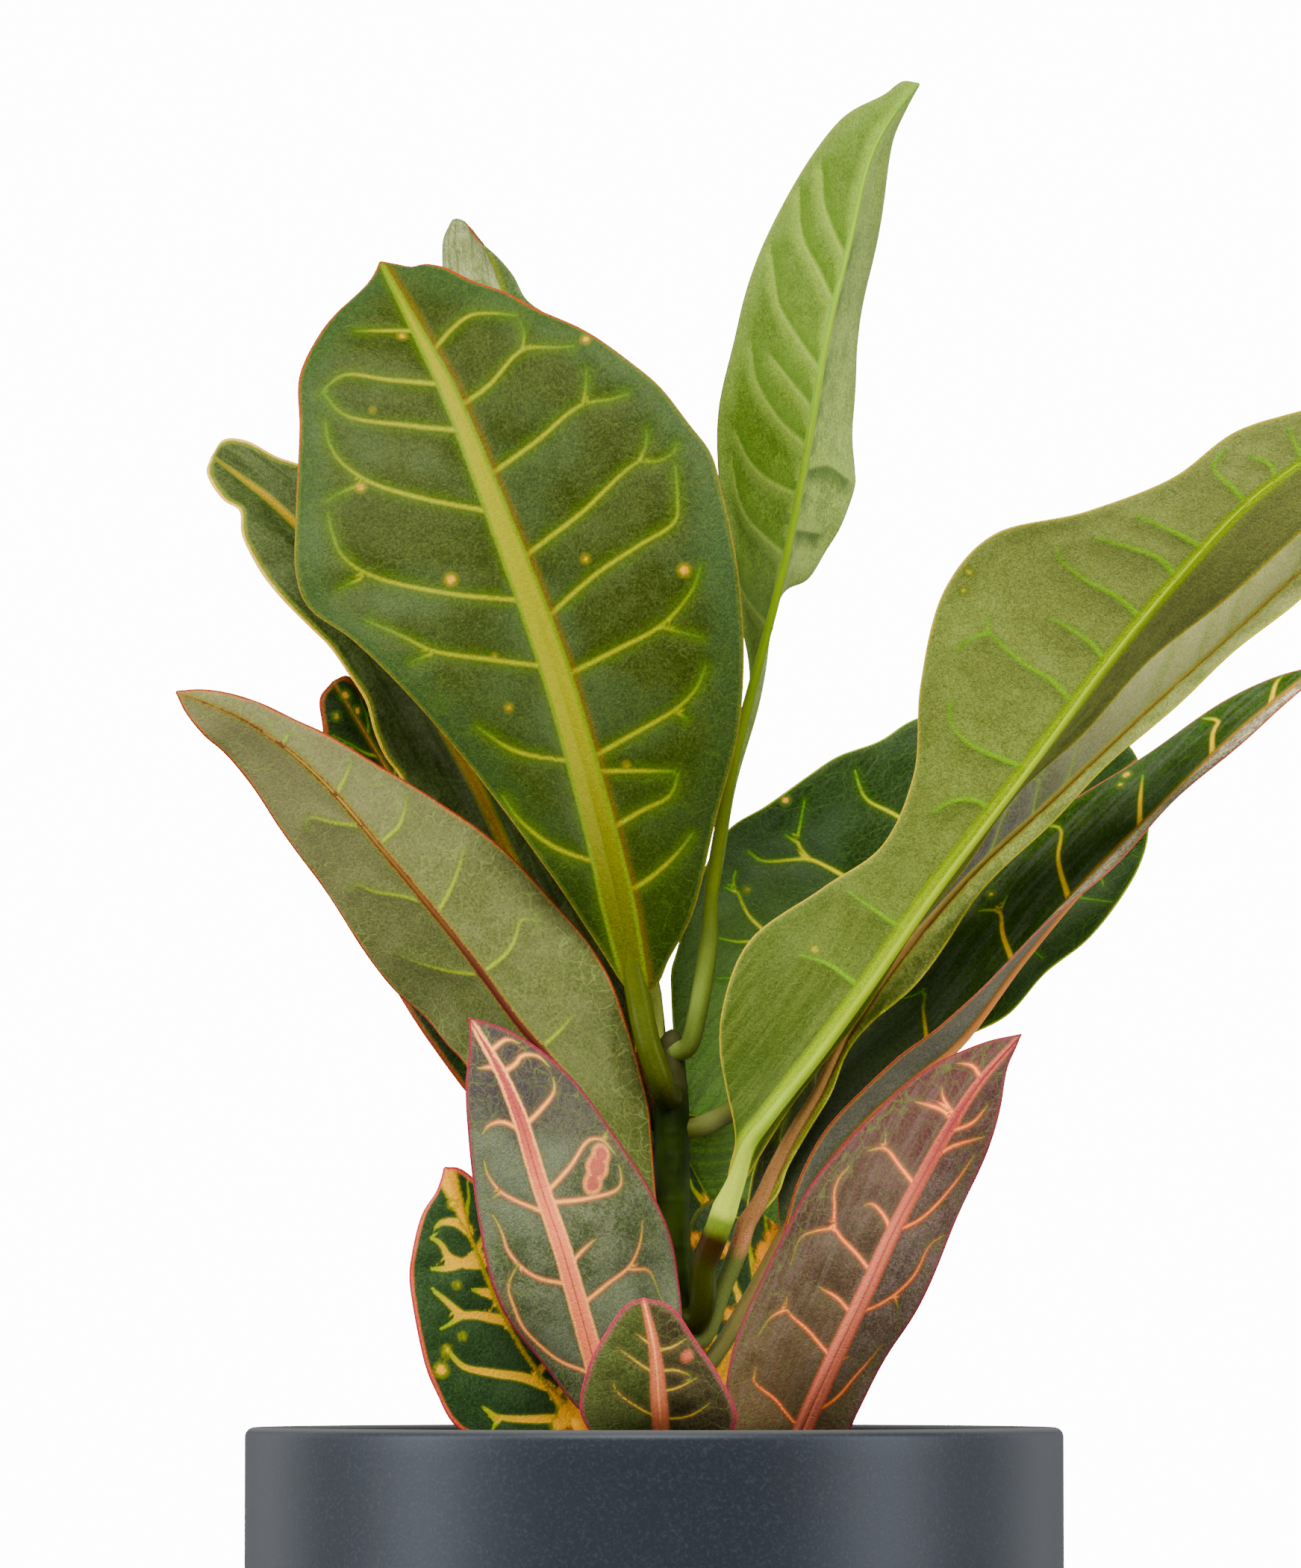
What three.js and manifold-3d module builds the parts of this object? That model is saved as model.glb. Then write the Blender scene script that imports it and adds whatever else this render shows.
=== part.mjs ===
// A croton in a plain slate-grey pot.
// Millimetres, +Z up. The origin is the centre of the pot's flat underside. The plant is seen along +Y.
import * as THREE from 'three';
import { mergeVertices } from 'three/addons/utils/BufferGeometryUtils.js';
import Module from 'manifold-3d';

const wasm = await Module();
wasm.setup();

// Pot
const POT_RADIUS = 75;
const POT_HEIGHT = 140;
const POT_WALL = 4.5;
const POT_FLOOR = 6;
const POT_LIP = 1.8; // rounding of the lip
const POT_FOOT = 2.5; // rounding of the lower edge
const POT_SIDES = 56;

// Soil
const SOIL_DROP = 22; // from the lip down to the soil
const SOIL_CROWN = 2.5; // the soil rises towards the stem
const CLEARANCE = 0.3; // between pieces that touch

// Stem
const STEM_X = 3.2;
const STEM_FOOT_RADIUS = 4.2;
const STEM_NECK_RADIUS = 3.3;
const STEM_TOP_RADIUS = 2.2;
const STEM_NECK = 59; // above the lip, where the young top starts
const STEM_TOP = 71;
const STEM_DEPTH = 30; // below the soil
const STEM_SIDES = 14;
const SCAR_SPACING = 7; // one leaf scar to the next
const SCAR_SWELL = 0.35;
const BUD_HEIGHT = 2;

// Leaves
const BLADE_THICKNESS = 0.8;
const ROW_LENGTH = 11;
const MIN_ROWS = 7;
const MAX_ROWS = 15;
const HALF_COLUMNS = 3;
const PETIOLE_SIDES = 6;
const PETIOLE_STEP = 7;
const PETIOLE_END_RADIUS = 0.8;
const BASE_HALF_WIDTH = 1.3;
const TIP_HALF_WIDTH = 0.6;

// Leaf outlines are given as they are seen from the front: [right, up, depth]. Right and up are measured
// on the upright plane through the pot's axis, up from the pot's lip. Depth is behind that plane, and
// negative nearer the eye.
const EYE_DISTANCE = 1800;
const EYE_ABOVE_LIP = 14;

function seen([right, up, depth]) {
  const spread = (EYE_DISTANCE + depth) / EYE_DISTANCE;
  const z = POT_HEIGHT + EYE_ABOVE_LIP + (up - EYE_ABOVE_LIP) * spread;
  return new THREE.Vector3(right * spread, depth, z);
}

// Each leaf: its midrib from base to tip, and its two margins between those ends. Bearing and height
// give the place on the stem that the petiole grows from, in degrees (0 right, 90 back) and above the
// lip. Petiole is its radius, via lists points that it passes, and belly is how far the half-blades
// bulge to the front.
const LEAVES = [
  {
    name: 'leaf_top_front', colour: '#4a5c2c', bearing: -105, height: 61, petiole: 2.3, belly: 1.5,
    via: [[1.2, 63.5, -8], [-0.5, 68.3, -9], [-1.9, 73.5, -8.5]],
    rib: [[-3, 79, -8], [-6.5, 95, -13], [-10, 109.5, -16], [-18, 138, -19], [-28, 165.5, -19],
      [-38, 190.5, -14], [-44, 202, -8], [-50.5, 214.5, 2]],
    left: [[-6, 82, -9], [-9.5, 87, -11], [-12.5, 91.5, -13], [-19.5, 102, -18], [-39.5, 128, -25],
      [-55.5, 144.5, -27], [-64, 151, -25], [-66, 156.5, -24], [-66, 166.5, -21], [-65.5, 184, -16],
      [-65.5, 193, -13], [-62, 200.5, -9], [-59, 204.5, -6], [-52.5, 211, 0]],
    right: [[0.5, 81.5, -9], [2.5, 85.5, -10.5], [7, 94, -14], [11.5, 112, -20], [15.5, 127.5, -24],
      [16.5, 143.5, -27], [15, 160.5, -28], [12.5, 172, -27], [10.5, 179, -26], [6.5, 184.5, -25],
      [1, 191.5, -23], [-4.5, 196, -21], [-12.5, 201.5, -18], [-22, 206, -14], [-27.5, 209, -11],
      [-33.5, 211, -7], [-39, 213.5, -3], [-42.5, 214, -1], [-44.5, 213.5, 0], [-47.5, 214, 2]],
  },
  {
    name: 'leaf_top_upright', colour: '#6f9a34', bearing: -42, height: 69.5, petiole: 1.8, belly: 0.5,
    via: [[8, 76, -5]],
    rib: [[10, 89, -5], [11, 99, -6], [15, 121, -8], [19.5, 139, -9], [23, 153, -10], [25.5, 165, -10],
      [28.5, 180.5, -10], [32, 200.5, -9], [36, 217.5, -7], [40, 234, -3], [44, 241.5, 0], [49, 247.5, 3]],
    left: [[10, 100, -3], [13, 119.5, 3], [17.5, 139, 6], [13.5, 160.5, 9], [12, 171.5, 9], [12, 180, 9],
      [12.5, 189.5, 8], [14.5, 200.5, 7], [16.5, 208, 6], [21, 219, 5], [27.5, 232, 3], [33.5, 240, 2],
      [36.5, 242.5, 2], [42.5, 245.5, 3], [46, 248, 3]],
    right: [[12, 100, -4], [16, 121, -1], [20.5, 139, 0], [24, 153, 2], [28, 156, 6], [31, 161, 8],
      [34.5, 166, 8], [37.5, 173, 9], [37.5, 176, 9], [36.5, 183.5, 9], [37, 196.5, 8], [38, 202.5, 8],
      [40.5, 214.5, 6], [43.5, 234, 3], [44.5, 238, 3], [46.5, 242.5, 3]],
  },
  {
    name: 'leaf_top_behind', colour: '#5c7a48', bearing: 120, height: 66, petiole: 1.5, belly: -1,
    rib: [[0, 77.5, 7], [-1.5, 97.5, 14], [-5, 123.5, 22], [-11, 152.5, 28], [-19, 177, 30],
      [-24.5, 196.5, 28], [-28, 209.5, 25], [-30, 215, 22], [-31.5, 217.5, 20]],
    left: [[-5.5, 95.5, 15], [-15.5, 123.5, 24], [-25.5, 148.5, 30], [-34, 174.5, 31], [-38.5, 196.5, 28],
      [-39, 210.5, 25], [-39, 218.5, 22], [-38, 221, 21], [-37, 222.5, 20], [-35, 222, 20],
      [-34, 220.5, 20], [-32.5, 218.5, 20]],
    right: [[2.5, 97.5, 14], [4, 123.5, 22], [1, 152.5, 28], [-4.5, 180, 31], [-10.5, 196.5, 30],
      [-18, 203.5, 28], [-23.5, 207.5, 26], [-26, 212, 24], [-29, 215.5, 22]],
  },
  {
    name: 'leaf_left_high', colour: '#3f553f', bearing: 155, height: 53, petiole: 1.5, belly: 1.5,
    rib: [[-5.5, 64.5, 7], [-14, 79.5, 10], [-21, 93, 11], [-28, 107.5, 11], [-33, 118, 10],
      [-37.5, 126, 10], [-43.5, 136.5, 9], [-52, 151, 9], [-61.5, 161.5, 10], [-71, 170.5, 12],
      [-81.5, 178.5, 16]],
    left: [[-12, 66, 8], [-25.5, 79.5, 10], [-38, 99.5, 9], [-47, 119.5, 6], [-49.5, 123, 5],
      [-51.5, 127.5, 4], [-53, 133, 4], [-56.5, 138.5, 4], [-60, 143.5, 4], [-63, 146.5, 4],
      [-69, 152.5, 5], [-72.5, 157, 7], [-76, 164, 8], [-76.5, 168.5, 9], [-79.5, 170.5, 11],
      [-82.5, 175.5, 14]],
    right: [[-3, 70.5, 7], [-3, 77.5, 8], [-4.5, 85, 9.5], [-10.5, 100, 13], [-19.5, 125, 15],
      [-30, 145.5, 15], [-41, 161.5, 15], [-53, 172.5, 15], [-66.5, 177.5, 15], [-69.5, 178.5, 15],
      [-75.5, 181.5, 15], [-79.5, 181.5, 16]],
  },
  {
    name: 'leaf_left_inner', colour: '#2e4a2a', bearing: 188, height: 40, petiole: 1.5, belly: 1,
    rib: [[-3, 48, 7], [-16, 67, 15], [-32.5, 92, 22], [-45.5, 114.5, 25], [-53, 127, 24], [-59, 137, 22]],
    left: [[-16, 48, 10], [-29.5, 56, 13], [-41, 70, 16], [-49.5, 83.5, 19], [-57, 97.5, 21],
      [-61.5, 114, 23], [-61, 127.5, 23], [-61.5, 134, 23]],
    right: [[1, 50, 8], [1, 56, 10], [-1, 64.5, 12], [-5.5, 74, 15], [-18, 90.5, 21], [-29.5, 108.5, 25],
      [-40.5, 122, 26], [-50.5, 131, 25], [-56.5, 138, 22]],
  },
  {
    name: 'leaf_left_front', colour: '#8b9664', bearing: -120, height: 28, petiole: 1.9, belly: 0.5,
    rib: [[0.5, 37, -8], [-3.5, 44, -10], [-12, 57.5, -13], [-18.5, 66.5, -14], [-25, 74, -15],
      [-35, 87.5, -17], [-48, 103.5, -19], [-62.5, 120, -22], [-75, 129.5, -26], [-88, 135, -30]],
    left: [[-7.5, 39, -8], [-20, 46.5, -5], [-29.5, 56, -3], [-34.5, 66, -2], [-38.5, 70, -2],
      [-42.5, 75, -2], [-47, 79.5, -3], [-50.5, 84, -5], [-55, 90, -8], [-62, 100, -12], [-65.5, 105, -14],
      [-69.5, 111, -16], [-73.5, 117, -19], [-79, 123.5, -23], [-83, 127, -27], [-86.5, 131.5, -29]],
    right: [[-0.5, 51.5, -4], [-1, 59, -4], [-3, 67.5, -5], [-5.5, 75, -6], [-8.5, 82.5, -8],
      [-12.5, 89.5, -9], [-17.5, 95.5, -10], [-24, 102.5, -12], [-31, 108.5, -14], [-38, 113.5, -15],
      [-44.5, 118, -16], [-53, 123, -18], [-61, 127.5, -21], [-65.5, 129.5, -22], [-72.5, 133, -25],
      [-79, 135, -27], [-84, 135.5, -28]],
  },
  {
    name: 'leaf_low_left_front', colour: '#5d5f4c', bearing: -150, height: -8, petiole: 1.6, belly: 0.5,
    rib: [[-7.5, -0.5, -14], [-12, 15.5, -22], [-14.5, 24.5, -26], [-17, 33, -29], [-21, 44.5, -31],
      [-24.5, 56, -32], [-28, 64.5, -31], [-34, 75, -28]],
    left: [[-13.5, 3, -13], [-19.5, 10, -15], [-27.5, 21.5, -19], [-32.5, 37.5, -23], [-34, 54.5, -26],
      [-34.5, 63, -27], [-34, 69, -28]],
    right: [[0.5, 5.5, -12], [5, 17, -12], [4.5, 28.5, -13], [2.5, 36, -16], [-5, 50, -21], [-15, 64, -25],
      [-26.5, 72.5, -27]],
  },
  {
    name: 'leaf_low_front', colour: '#4b4a2e', bearing: -95, height: -14, petiole: 1.5, belly: 0.5,
    rib: [[1.5, -4.5, -22], [1, 3, -34], [0, 14.5, -43], [-2, 23.5, -48]],
    left: [[-9, -3.5, -24], [-13.5, 2, -28], [-12, 11, -35], [-9, 17, -40], [-5, 22.5, -46]],
    right: [[11.5, -3.5, -24], [15, 1.5, -28], [12.5, 8.5, -34], [8, 15.5, -40], [2.5, 22.5, -46]],
  },
  {
    name: 'leaf_low_right_front', colour: '#5a4540', bearing: -50, height: -8, petiole: 1.8, belly: 0.5,
    rib: [[25, -5.5, -16], [27.5, 0.5, -22], [32.5, 11.5, -32], [38, 23, -39], [44, 36, -44],
      [48.5, 44.5, -46], [58.5, 61.5, -47], [67.5, 72, -44]],
    left: [[17, -0.5, -14], [14, 7, -15], [16.5, 20, -20], [24, 36, -28], [35.5, 52.5, -36],
      [48.5, 64.5, -40], [61, 70.5, -42]],
    right: [[33.5, -3.5, -17], [37.5, 3, -22], [43.5, 14, -28], [47.5, 21, -32], [53, 31.5, -37],
      [57.5, 42, -39], [61.5, 52, -42], [63.5, 58.5, -43], [65, 66, -44], [66.5, 69.5, -44]],
  },
  {
    name: 'leaf_low_left', colour: '#20351e', bearing: 178, height: -5, petiole: 1.5, belly: 0.5,
    rib: [[-13.5, 0, -4], [-20, 8, -6], [-27, 19, -8], [-33, 33, -10], [-38.5, 47.5, -12]],
    left: [[-25.5, -3.5, -3], [-36, 0, -3], [-40, 6.5, -4], [-42, 11, -5], [-44.5, 22.5, -7],
      [-45, 27.5, -7], [-44.5, 31.5, -8], [-42.5, 39, -9], [-40, 43, -10]],
    right: [[-10.5, 8.5, -2], [-13, 19, -2], [-19.5, 30, -4], [-27, 40, -7], [-32.5, 45, -9],
      [-36, 47.5, -11]],
  },
  {
    name: 'leaf_low_right', colour: '#2c3a1e', bearing: 48, height: -8, petiole: 1.4, belly: 0.5,
    rib: [[9.5, 3.5, 6], [13.5, 12.5, 9], [17.5, 22, 12], [20.5, 30, 13], [22, 37.5, 13]],
    left: [[7.5, 8.5, 8], [5, 20.5, 10], [5.5, 31.5, 12], [8, 40, 13], [15, 42.5, 14]],
    right: [[19.5, 7.5, 8], [27.5, 18, 10], [29.5, 29, 10], [26.5, 35, 12]],
  },
  {
    name: 'leaf_right_front', colour: '#879648', bearing: -30, height: 20, petiole: 2.4, belly: 1,
    via: [[9, 23.5, -4.8], [9.2, 29.6, -6.4], [11.2, 35, -7.3]],
    rib: [[13, 40, -8], [15, 45.5, -10], [17, 51.5, -12], [20.5, 56, -14], [24.5, 61, -15.5],
      [30.5, 68.5, -18.5], [39, 80, -23], [51.5, 98, -29], [69.5, 121.5, -37], [84, 141, -44],
      [95.5, 155, -50], [109.5, 170, -56], [122.5, 180, -60], [135, 192, -64]],
    left: [[14, 47.5, -10], [15, 52.5, -10.5], [13, 62.5, -9], [12, 68.5, -9], [12.5, 76, -10.5],
      [17.5, 89, -14], [31, 99, -22], [42, 106.5, -28], [47.5, 119.5, -34], [49, 136, -40],
      [53.5, 154, -47], [62.5, 164, -52], [80, 168.5, -56], [95.5, 174.5, -58], [107, 183, -60],
      [121, 187.5, -62]],
    right: [[17, 46, -8.5], [23, 55.5, -8], [31.5, 67, -7], [41.5, 81, -10], [51.5, 95.5, -15],
      [59.5, 106.5, -20], [67.5, 116, -25], [81.5, 130.5, -32], [97.5, 146, -40], [114, 159.5, -50],
      [125.5, 171.5, -57]],
  },
  {
    name: 'leaf_right_middle', colour: '#7d8450', bearing: 0, height: 16, petiole: 1.8, belly: 0.5,
    via: [[12.5, 25.3, -1], [15.5, 32.6, -1.8]],
    rib: [[17, 37.5, -2], [19.5, 41, -2.4], [22, 46, -3], [25.5, 53, -4], [30, 60.5, -4.6],
      [34, 68.5, -5.3], [38.5, 76, -6], [45, 85.5, -8], [59.5, 102, -12], [72.5, 114, -17],
      [90, 130.5, -25], [106, 145, -33], [118.5, 156.5, -40], [131, 166, -45]],
    left: [[18.5, 48, 3], [24.5, 61.5, 4], [33.5, 77, 4], [46, 96, 2], [62.5, 115, -3], [81.5, 135, -11],
      [99.5, 151, -21], [114.5, 163.5, -33], [125.5, 167.5, -41]],
    right: [[22.5, 42.5, -2.5], [24.5, 47.5, -3], [28, 53.5, -4], [32.5, 61, -5.5], [35.5, 68.5, -6.5],
      [39.5, 73.5, -7.5], [48, 81, -10], [60, 97.5, -15], [72.5, 110.5, -20], [90, 127, -28],
      [106, 141.5, -36], [119, 152, -41], [127, 160, -44]],
  },
  {
    name: 'leaf_right_folded', colour: '#26361c', bearing: 16, height: 10, petiole: 1.6, belly: 0,
    rib: [[23.5, 34, 2], [28.5, 44, 1], [37.5, 55, 0], [48, 64.5, 0], [55.5, 70.5, 0], [67.5, 86, 1],
      [79.5, 100, 2], [91.5, 112, 3], [107.5, 127.5, 3], [123, 140, 2]],
    left: [[23, 46, 5], [28.5, 60.5, 8], [37, 73.5, 10], [47, 88.5, 12], [61, 103, 12], [72.5, 111.5, 12],
      [89.5, 123, 11], [105.5, 133.5, 8], [115, 138, 5]],
    right: [[26, 43.5, -3], [32, 55.5, -6], [44.5, 67, -8], [51, 72, -9], [58, 79, -9], [72, 91.5, -9],
      [85.5, 104.5, -7], [99.5, 118, -4], [113, 130, -1], [122, 138, 1]],
  },
  {
    name: 'leaf_right_behind', colour: '#2f4524', bearing: 8, height: 55, petiole: 1.9, belly: -1,
    rib: [[13.5, 57.5, 6], [21.5, 64.5, 14], [35, 76, 22], [51.5, 90.5, 28], [67.5, 105, 32], [79, 114, 33],
      [89, 122.5, 32]],
    left: [[10, 57.5, 7.5], [6.5, 59, 9.5], [4.5, 64.5, 11.5], [3.5, 71.5, 13], [3, 79, 16], [3, 83.5, 18],
      [4, 87, 20], [5.5, 92, 22], [8, 99.5, 25], [13.5, 109.5, 27], [20.5, 114, 28], [27.5, 119, 29],
      [33.5, 123, 30], [41.5, 126, 32], [48, 130, 33], [63.5, 133, 35], [79, 131, 34], [87.5, 125, 32]],
    right: [[10.5, 56, 7.5], [7.5, 54.5, 9.5], [7, 50.5, 12], [8.5, 46.5, 14], [11, 40.5, 16],
      [15.5, 37, 18], [23, 37, 19], [30, 44.5, 20], [29.5, 46.5, 20], [44.5, 59.5, 22], [54.5, 70, 24],
      [65, 75.5, 25], [72, 83, 26], [79.5, 89, 27], [85.5, 96.5, 29], [89.5, 103.5, 30], [91, 109.5, 31],
      [90, 119.5, 32]],
  },
  {
    name: 'leaf_back_top', colour: '#3d5a2c', bearing: 95, height: 54, petiole: 1.4, belly: -2,
    rib: [[0, 79.5, 25], [-4, 107, 42], [-8.5, 134.5, 60], [-13.5, 158, 76], [-17.5, 174.5, 86]],
    left: [[-11, 105.5, 43], [-19.5, 130.5, 62], [-22, 152.5, 78]],
    right: [[3, 107, 43], [2.5, 134.5, 63], [-3.5, 158, 79]],
  },
  {
    name: 'leaf_back_right', colour: '#34502a', bearing: 75, height: 42, petiole: 1.4, belly: -2,
    via: [[4.8, 47.5, 13], [7.2, 56, 20]],
    rib: [[11.5, 64.5, 22], [22.5, 78, 36], [36, 94.5, 56], [48.5, 109.5, 74], [58, 120.5, 86]],
    left: [[11.5, 81, 38], [22.5, 98.5, 58], [37.5, 114, 76]],
    right: [[32, 74, 38], [48.5, 90.5, 58], [58, 107, 75]],
  },
  {
    name: 'leaf_back_left', colour: '#385530', bearing: 130, height: 33, petiole: 1.4, belly: -2,
    rib: [[-5.5, 56, 22], [-14.5, 70, 38], [-25.5, 85, 58], [-36.5, 98.5, 76], [-45.5, 108.5, 88]],
    left: [[-21, 64.5, 39], [-34, 78, 60], [-42.5, 93, 78]],
    right: [[-7.5, 74, 39], [-17.5, 92, 60], [-29.5, 104, 78]],
  },
  {
    name: 'leaf_back_low_right', colour: '#2b4022', bearing: 85, height: 4, petiole: 1.4, belly: -2,
    rib: [[15, 8.5, 22], [11.5, 19, 30], [10, 30, 38], [10, 41, 46], [11.5, 51.5, 54]],
    left: [[7.5, 16.5, 30], [4, 29, 38], [3, 40.5, 46], [6.5, 49.5, 52]],
    right: [[17.5, 18.5, 32], [18.5, 30, 40], [17.5, 41, 48], [15.5, 48.5, 52]],
  },
  {
    name: 'leaf_back_low_left', colour: '#2f4624', bearing: 145, height: 8, petiole: 1.4, belly: -2,
    rib: [[-2.5, 8.5, 22], [-7, 19, 38], [-12.5, 31.5, 58], [-18, 44, 76], [-23.5, 55, 88]],
    left: [[-15.5, 16.5, 40], [-23.5, 31.5, 60], [-27, 45, 78]],
    right: [[0.5, 22, 40], [-3.5, 37, 60], [-12, 49.5, 78]],
  },
];

// A closed mesh from whole arrays of points and of triangles that index them.
function closedMesh(points, triangles) {
  const geometry = new THREE.BufferGeometry();
  geometry.setAttribute('position', new THREE.Float32BufferAttribute(points.flatMap((p) => p.toArray()), 3));
  geometry.setIndex(triangles.flat());
  return geometry;
}

// A solid that can be joined or cut, from any closed mesh.
function solid(geometry) {
  const bare = geometry.clone();
  bare.deleteAttribute('normal');
  bare.deleteAttribute('uv');
  const merged = mergeVertices(bare, 1e-4);
  const vertProperties = new Float32Array(merged.attributes.position.array);
  const triVerts = new Uint32Array(merged.index.array);
  return new wasm.Manifold(new wasm.Mesh({ numProp: 3, vertProperties, triVerts }));
}

// The mesh of a solid, ready to be shown.
function surface(body) {
  const mesh = body.getMesh();
  const geometry = new THREE.BufferGeometry();
  geometry.setAttribute('position', new THREE.BufferAttribute(new Float32Array(mesh.vertProperties), 3));
  geometry.setIndex(new THREE.BufferAttribute(new Uint32Array(mesh.triVerts), 1));
  geometry.computeVertexNormals();
  return geometry;
}

function smoothCurve(points) {
  return new THREE.CatmullRomCurve3(points.map(seen), false, 'centripetal');
}

// A point a short way out from the midrib at one row, towards the margin of the row next to it.
function besideRib(ribPoints, marginPoints, row, neighbour, width) {
  const out = marginPoints[neighbour].clone().sub(ribPoints[neighbour]).normalize();
  return ribPoints[row].clone().addScaledVector(out, width);
}

// A blade: straight lines run from the midrib to each margin, bellied to the front, and the sheet has an
// even thickness. Both faces are split into the same triangles.
function bladeGeometry(leaf) {
  const rib = smoothCurve(leaf.rib);
  const rows = THREE.MathUtils.clamp(Math.round(rib.getLength() / ROW_LENGTH), MIN_ROWS, MAX_ROWS);
  const ribPoints = rib.getSpacedPoints(rows);
  const [leftMargin, rightMargin] = [leaf.left, leaf.right].map((margin) => {
    const points = smoothCurve([leaf.rib[0], ...margin, leaf.rib.at(-1)]).getSpacedPoints(rows);
    points[0] = besideRib(ribPoints, points, 0, 1, BASE_HALF_WIDTH);
    points[rows] = besideRib(ribPoints, points, rows, rows - 1, TIP_HALF_WIDTH);
    return points;
  });
  const columns = 2 * HALF_COLUMNS;

  const sheet = [];
  for (let row = 0; row <= rows; row += 1) {
    const swell = leaf.belly * Math.sin((Math.PI * row) / rows);
    const line = [];
    for (let column = -HALF_COLUMNS; column <= HALF_COLUMNS; column += 1) {
      const across = Math.abs(column) / HALF_COLUMNS;
      const margin = column < 0 ? leftMargin : rightMargin;
      const point = ribPoints[row].clone().lerp(margin[row], across);
      point.y -= swell * 4 * across * (1 - across);
      line.push(point);
    }
    sheet.push(line);
  }

  const front = [];
  const back = [];
  for (let row = 0; row <= rows; row += 1) {
    for (let column = 0; column <= columns; column += 1) {
      const along = sheet[Math.min(row + 1, rows)][column].clone().sub(sheet[Math.max(row - 1, 0)][column]);
      const over = sheet[row][Math.min(column + 1, columns)].clone()
        .sub(sheet[row][Math.max(column - 1, 0)]);
      const normal = over.cross(along).normalize().multiplyScalar(BLADE_THICKNESS / 2);
      front.push(sheet[row][column].clone().add(normal));
      back.push(sheet[row][column].clone().sub(normal));
    }
  }

  const at = (row, column) => row * (columns + 1) + column;
  const other = front.length;
  const triangles = [];
  for (let row = 0; row < rows; row += 1) {
    for (let column = 0; column < columns; column += 1) {
      const [a, b] = [at(row, column), at(row, column + 1)];
      const [c, d] = [at(row + 1, column + 1), at(row + 1, column)];
      triangles.push([a, b, c], [a, c, d]);
      triangles.push([other + a, other + c, other + b], [other + a, other + d, other + c]);
    }
  }
  const edge = [];
  for (let column = 0; column < columns; column += 1) edge.push(at(0, column));
  for (let row = 0; row < rows; row += 1) edge.push(at(row, columns));
  for (let column = columns; column > 0; column -= 1) edge.push(at(rows, column));
  for (let row = rows; row > 0; row -= 1) edge.push(at(row, 0));
  edge.forEach((a, i) => {
    const b = edge[(i + 1) % edge.length];
    triangles.push([a, other + a, b], [b, other + a, other + b]);
  });
  return closedMesh([...front, ...back], triangles);
}

// A closed tube of changing radius along a curve.
function taperedTube(curve, radiusAt, steps, sides) {
  const frames = curve.computeFrenetFrames(steps, false);
  const points = [];
  for (let step = 0; step <= steps; step += 1) {
    const centre = curve.getPointAt(step / steps);
    for (let side = 0; side < sides; side += 1) {
      const angle = (2 * Math.PI * side) / sides;
      points.push(centre.clone()
        .addScaledVector(frames.normals[step], Math.cos(angle) * radiusAt(step / steps))
        .addScaledVector(frames.binormals[step], Math.sin(angle) * radiusAt(step / steps)));
    }
  }
  const triangles = [];
  for (let step = 0; step < steps; step += 1) {
    for (let side = 0; side < sides; side += 1) {
      const next = (side + 1) % sides;
      const [a, b] = [step * sides + side, step * sides + next];
      triangles.push([a, b, b + sides], [a, b + sides, a + sides]);
    }
  }
  const last = steps * sides;
  for (let side = 1; side < sides - 1; side += 1) {
    triangles.push([0, side + 1, side], [last, last + side, last + side + 1]);
  }
  return closedMesh(points, triangles);
}

// The stem thins slowly to its neck and faster above it.
function stemRadius(up) {
  if (up > STEM_NECK) {
    return THREE.MathUtils.mapLinear(Math.min(up, STEM_TOP), STEM_NECK, STEM_TOP, STEM_NECK_RADIUS, STEM_TOP_RADIUS);
  }
  return THREE.MathUtils.mapLinear(Math.max(up, -SOIL_DROP), -SOIL_DROP, STEM_NECK, STEM_FOOT_RADIUS, STEM_NECK_RADIUS);
}

// The petiole leaves the stem level, bends up to the blade and dies out in its midrib.
function petioleGeometry(leaf) {
  const bearing = THREE.MathUtils.degToRad(leaf.bearing);
  const out = new THREE.Vector3(Math.cos(bearing), Math.sin(bearing), 0);
  const reach = stemRadius(leaf.height) + SCAR_SWELL + CLEARANCE;
  const seat = new THREE.Vector3(STEM_X, 0, POT_HEIGHT + leaf.height).addScaledVector(out, reach);
  const rib = smoothCurve(leaf.rib);
  const points = [
    seat,
    seat.clone().addScaledVector(out, 1.5),
    ...(leaf.via ?? []).map(seen),
    rib.getPointAt(0),
    rib.getPointAt(0.06),
    rib.getPointAt(0.12),
  ];
  const curve = new THREE.CatmullRomCurve3(points, false, 'centripetal');
  const steps = Math.max(4, Math.round(curve.getLength() / PETIOLE_STEP));
  const radiusAt = (share) => THREE.MathUtils.lerp(leaf.petiole, PETIOLE_END_RADIUS, share * share);
  return taperedTube(curve, radiusAt, steps, PETIOLE_SIDES);
}

function potGeometry() {
  const inner = POT_RADIUS - POT_WALL;
  const arc = (x, y, radius, from, to) => [0, 1, 2].map((i) => {
    const angle = THREE.MathUtils.degToRad(THREE.MathUtils.lerp(from, to, i / 2));
    return new THREE.Vector2(x + radius * Math.cos(angle), y + radius * Math.sin(angle));
  });
  const profile = [
    new THREE.Vector2(0, 0),
    ...arc(POT_RADIUS - POT_FOOT, POT_FOOT, POT_FOOT, -90, 0),
    ...arc(POT_RADIUS - POT_LIP, POT_HEIGHT - POT_LIP, POT_LIP, 0, 90),
    ...arc(inner + POT_LIP, POT_HEIGHT - POT_LIP, POT_LIP, 90, 180),
    new THREE.Vector2(inner, POT_FLOOR),
    new THREE.Vector2(0, POT_FLOOR),
  ];
  return new THREE.LatheGeometry(profile, POT_SIDES).rotateX(Math.PI / 2);
}

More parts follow.
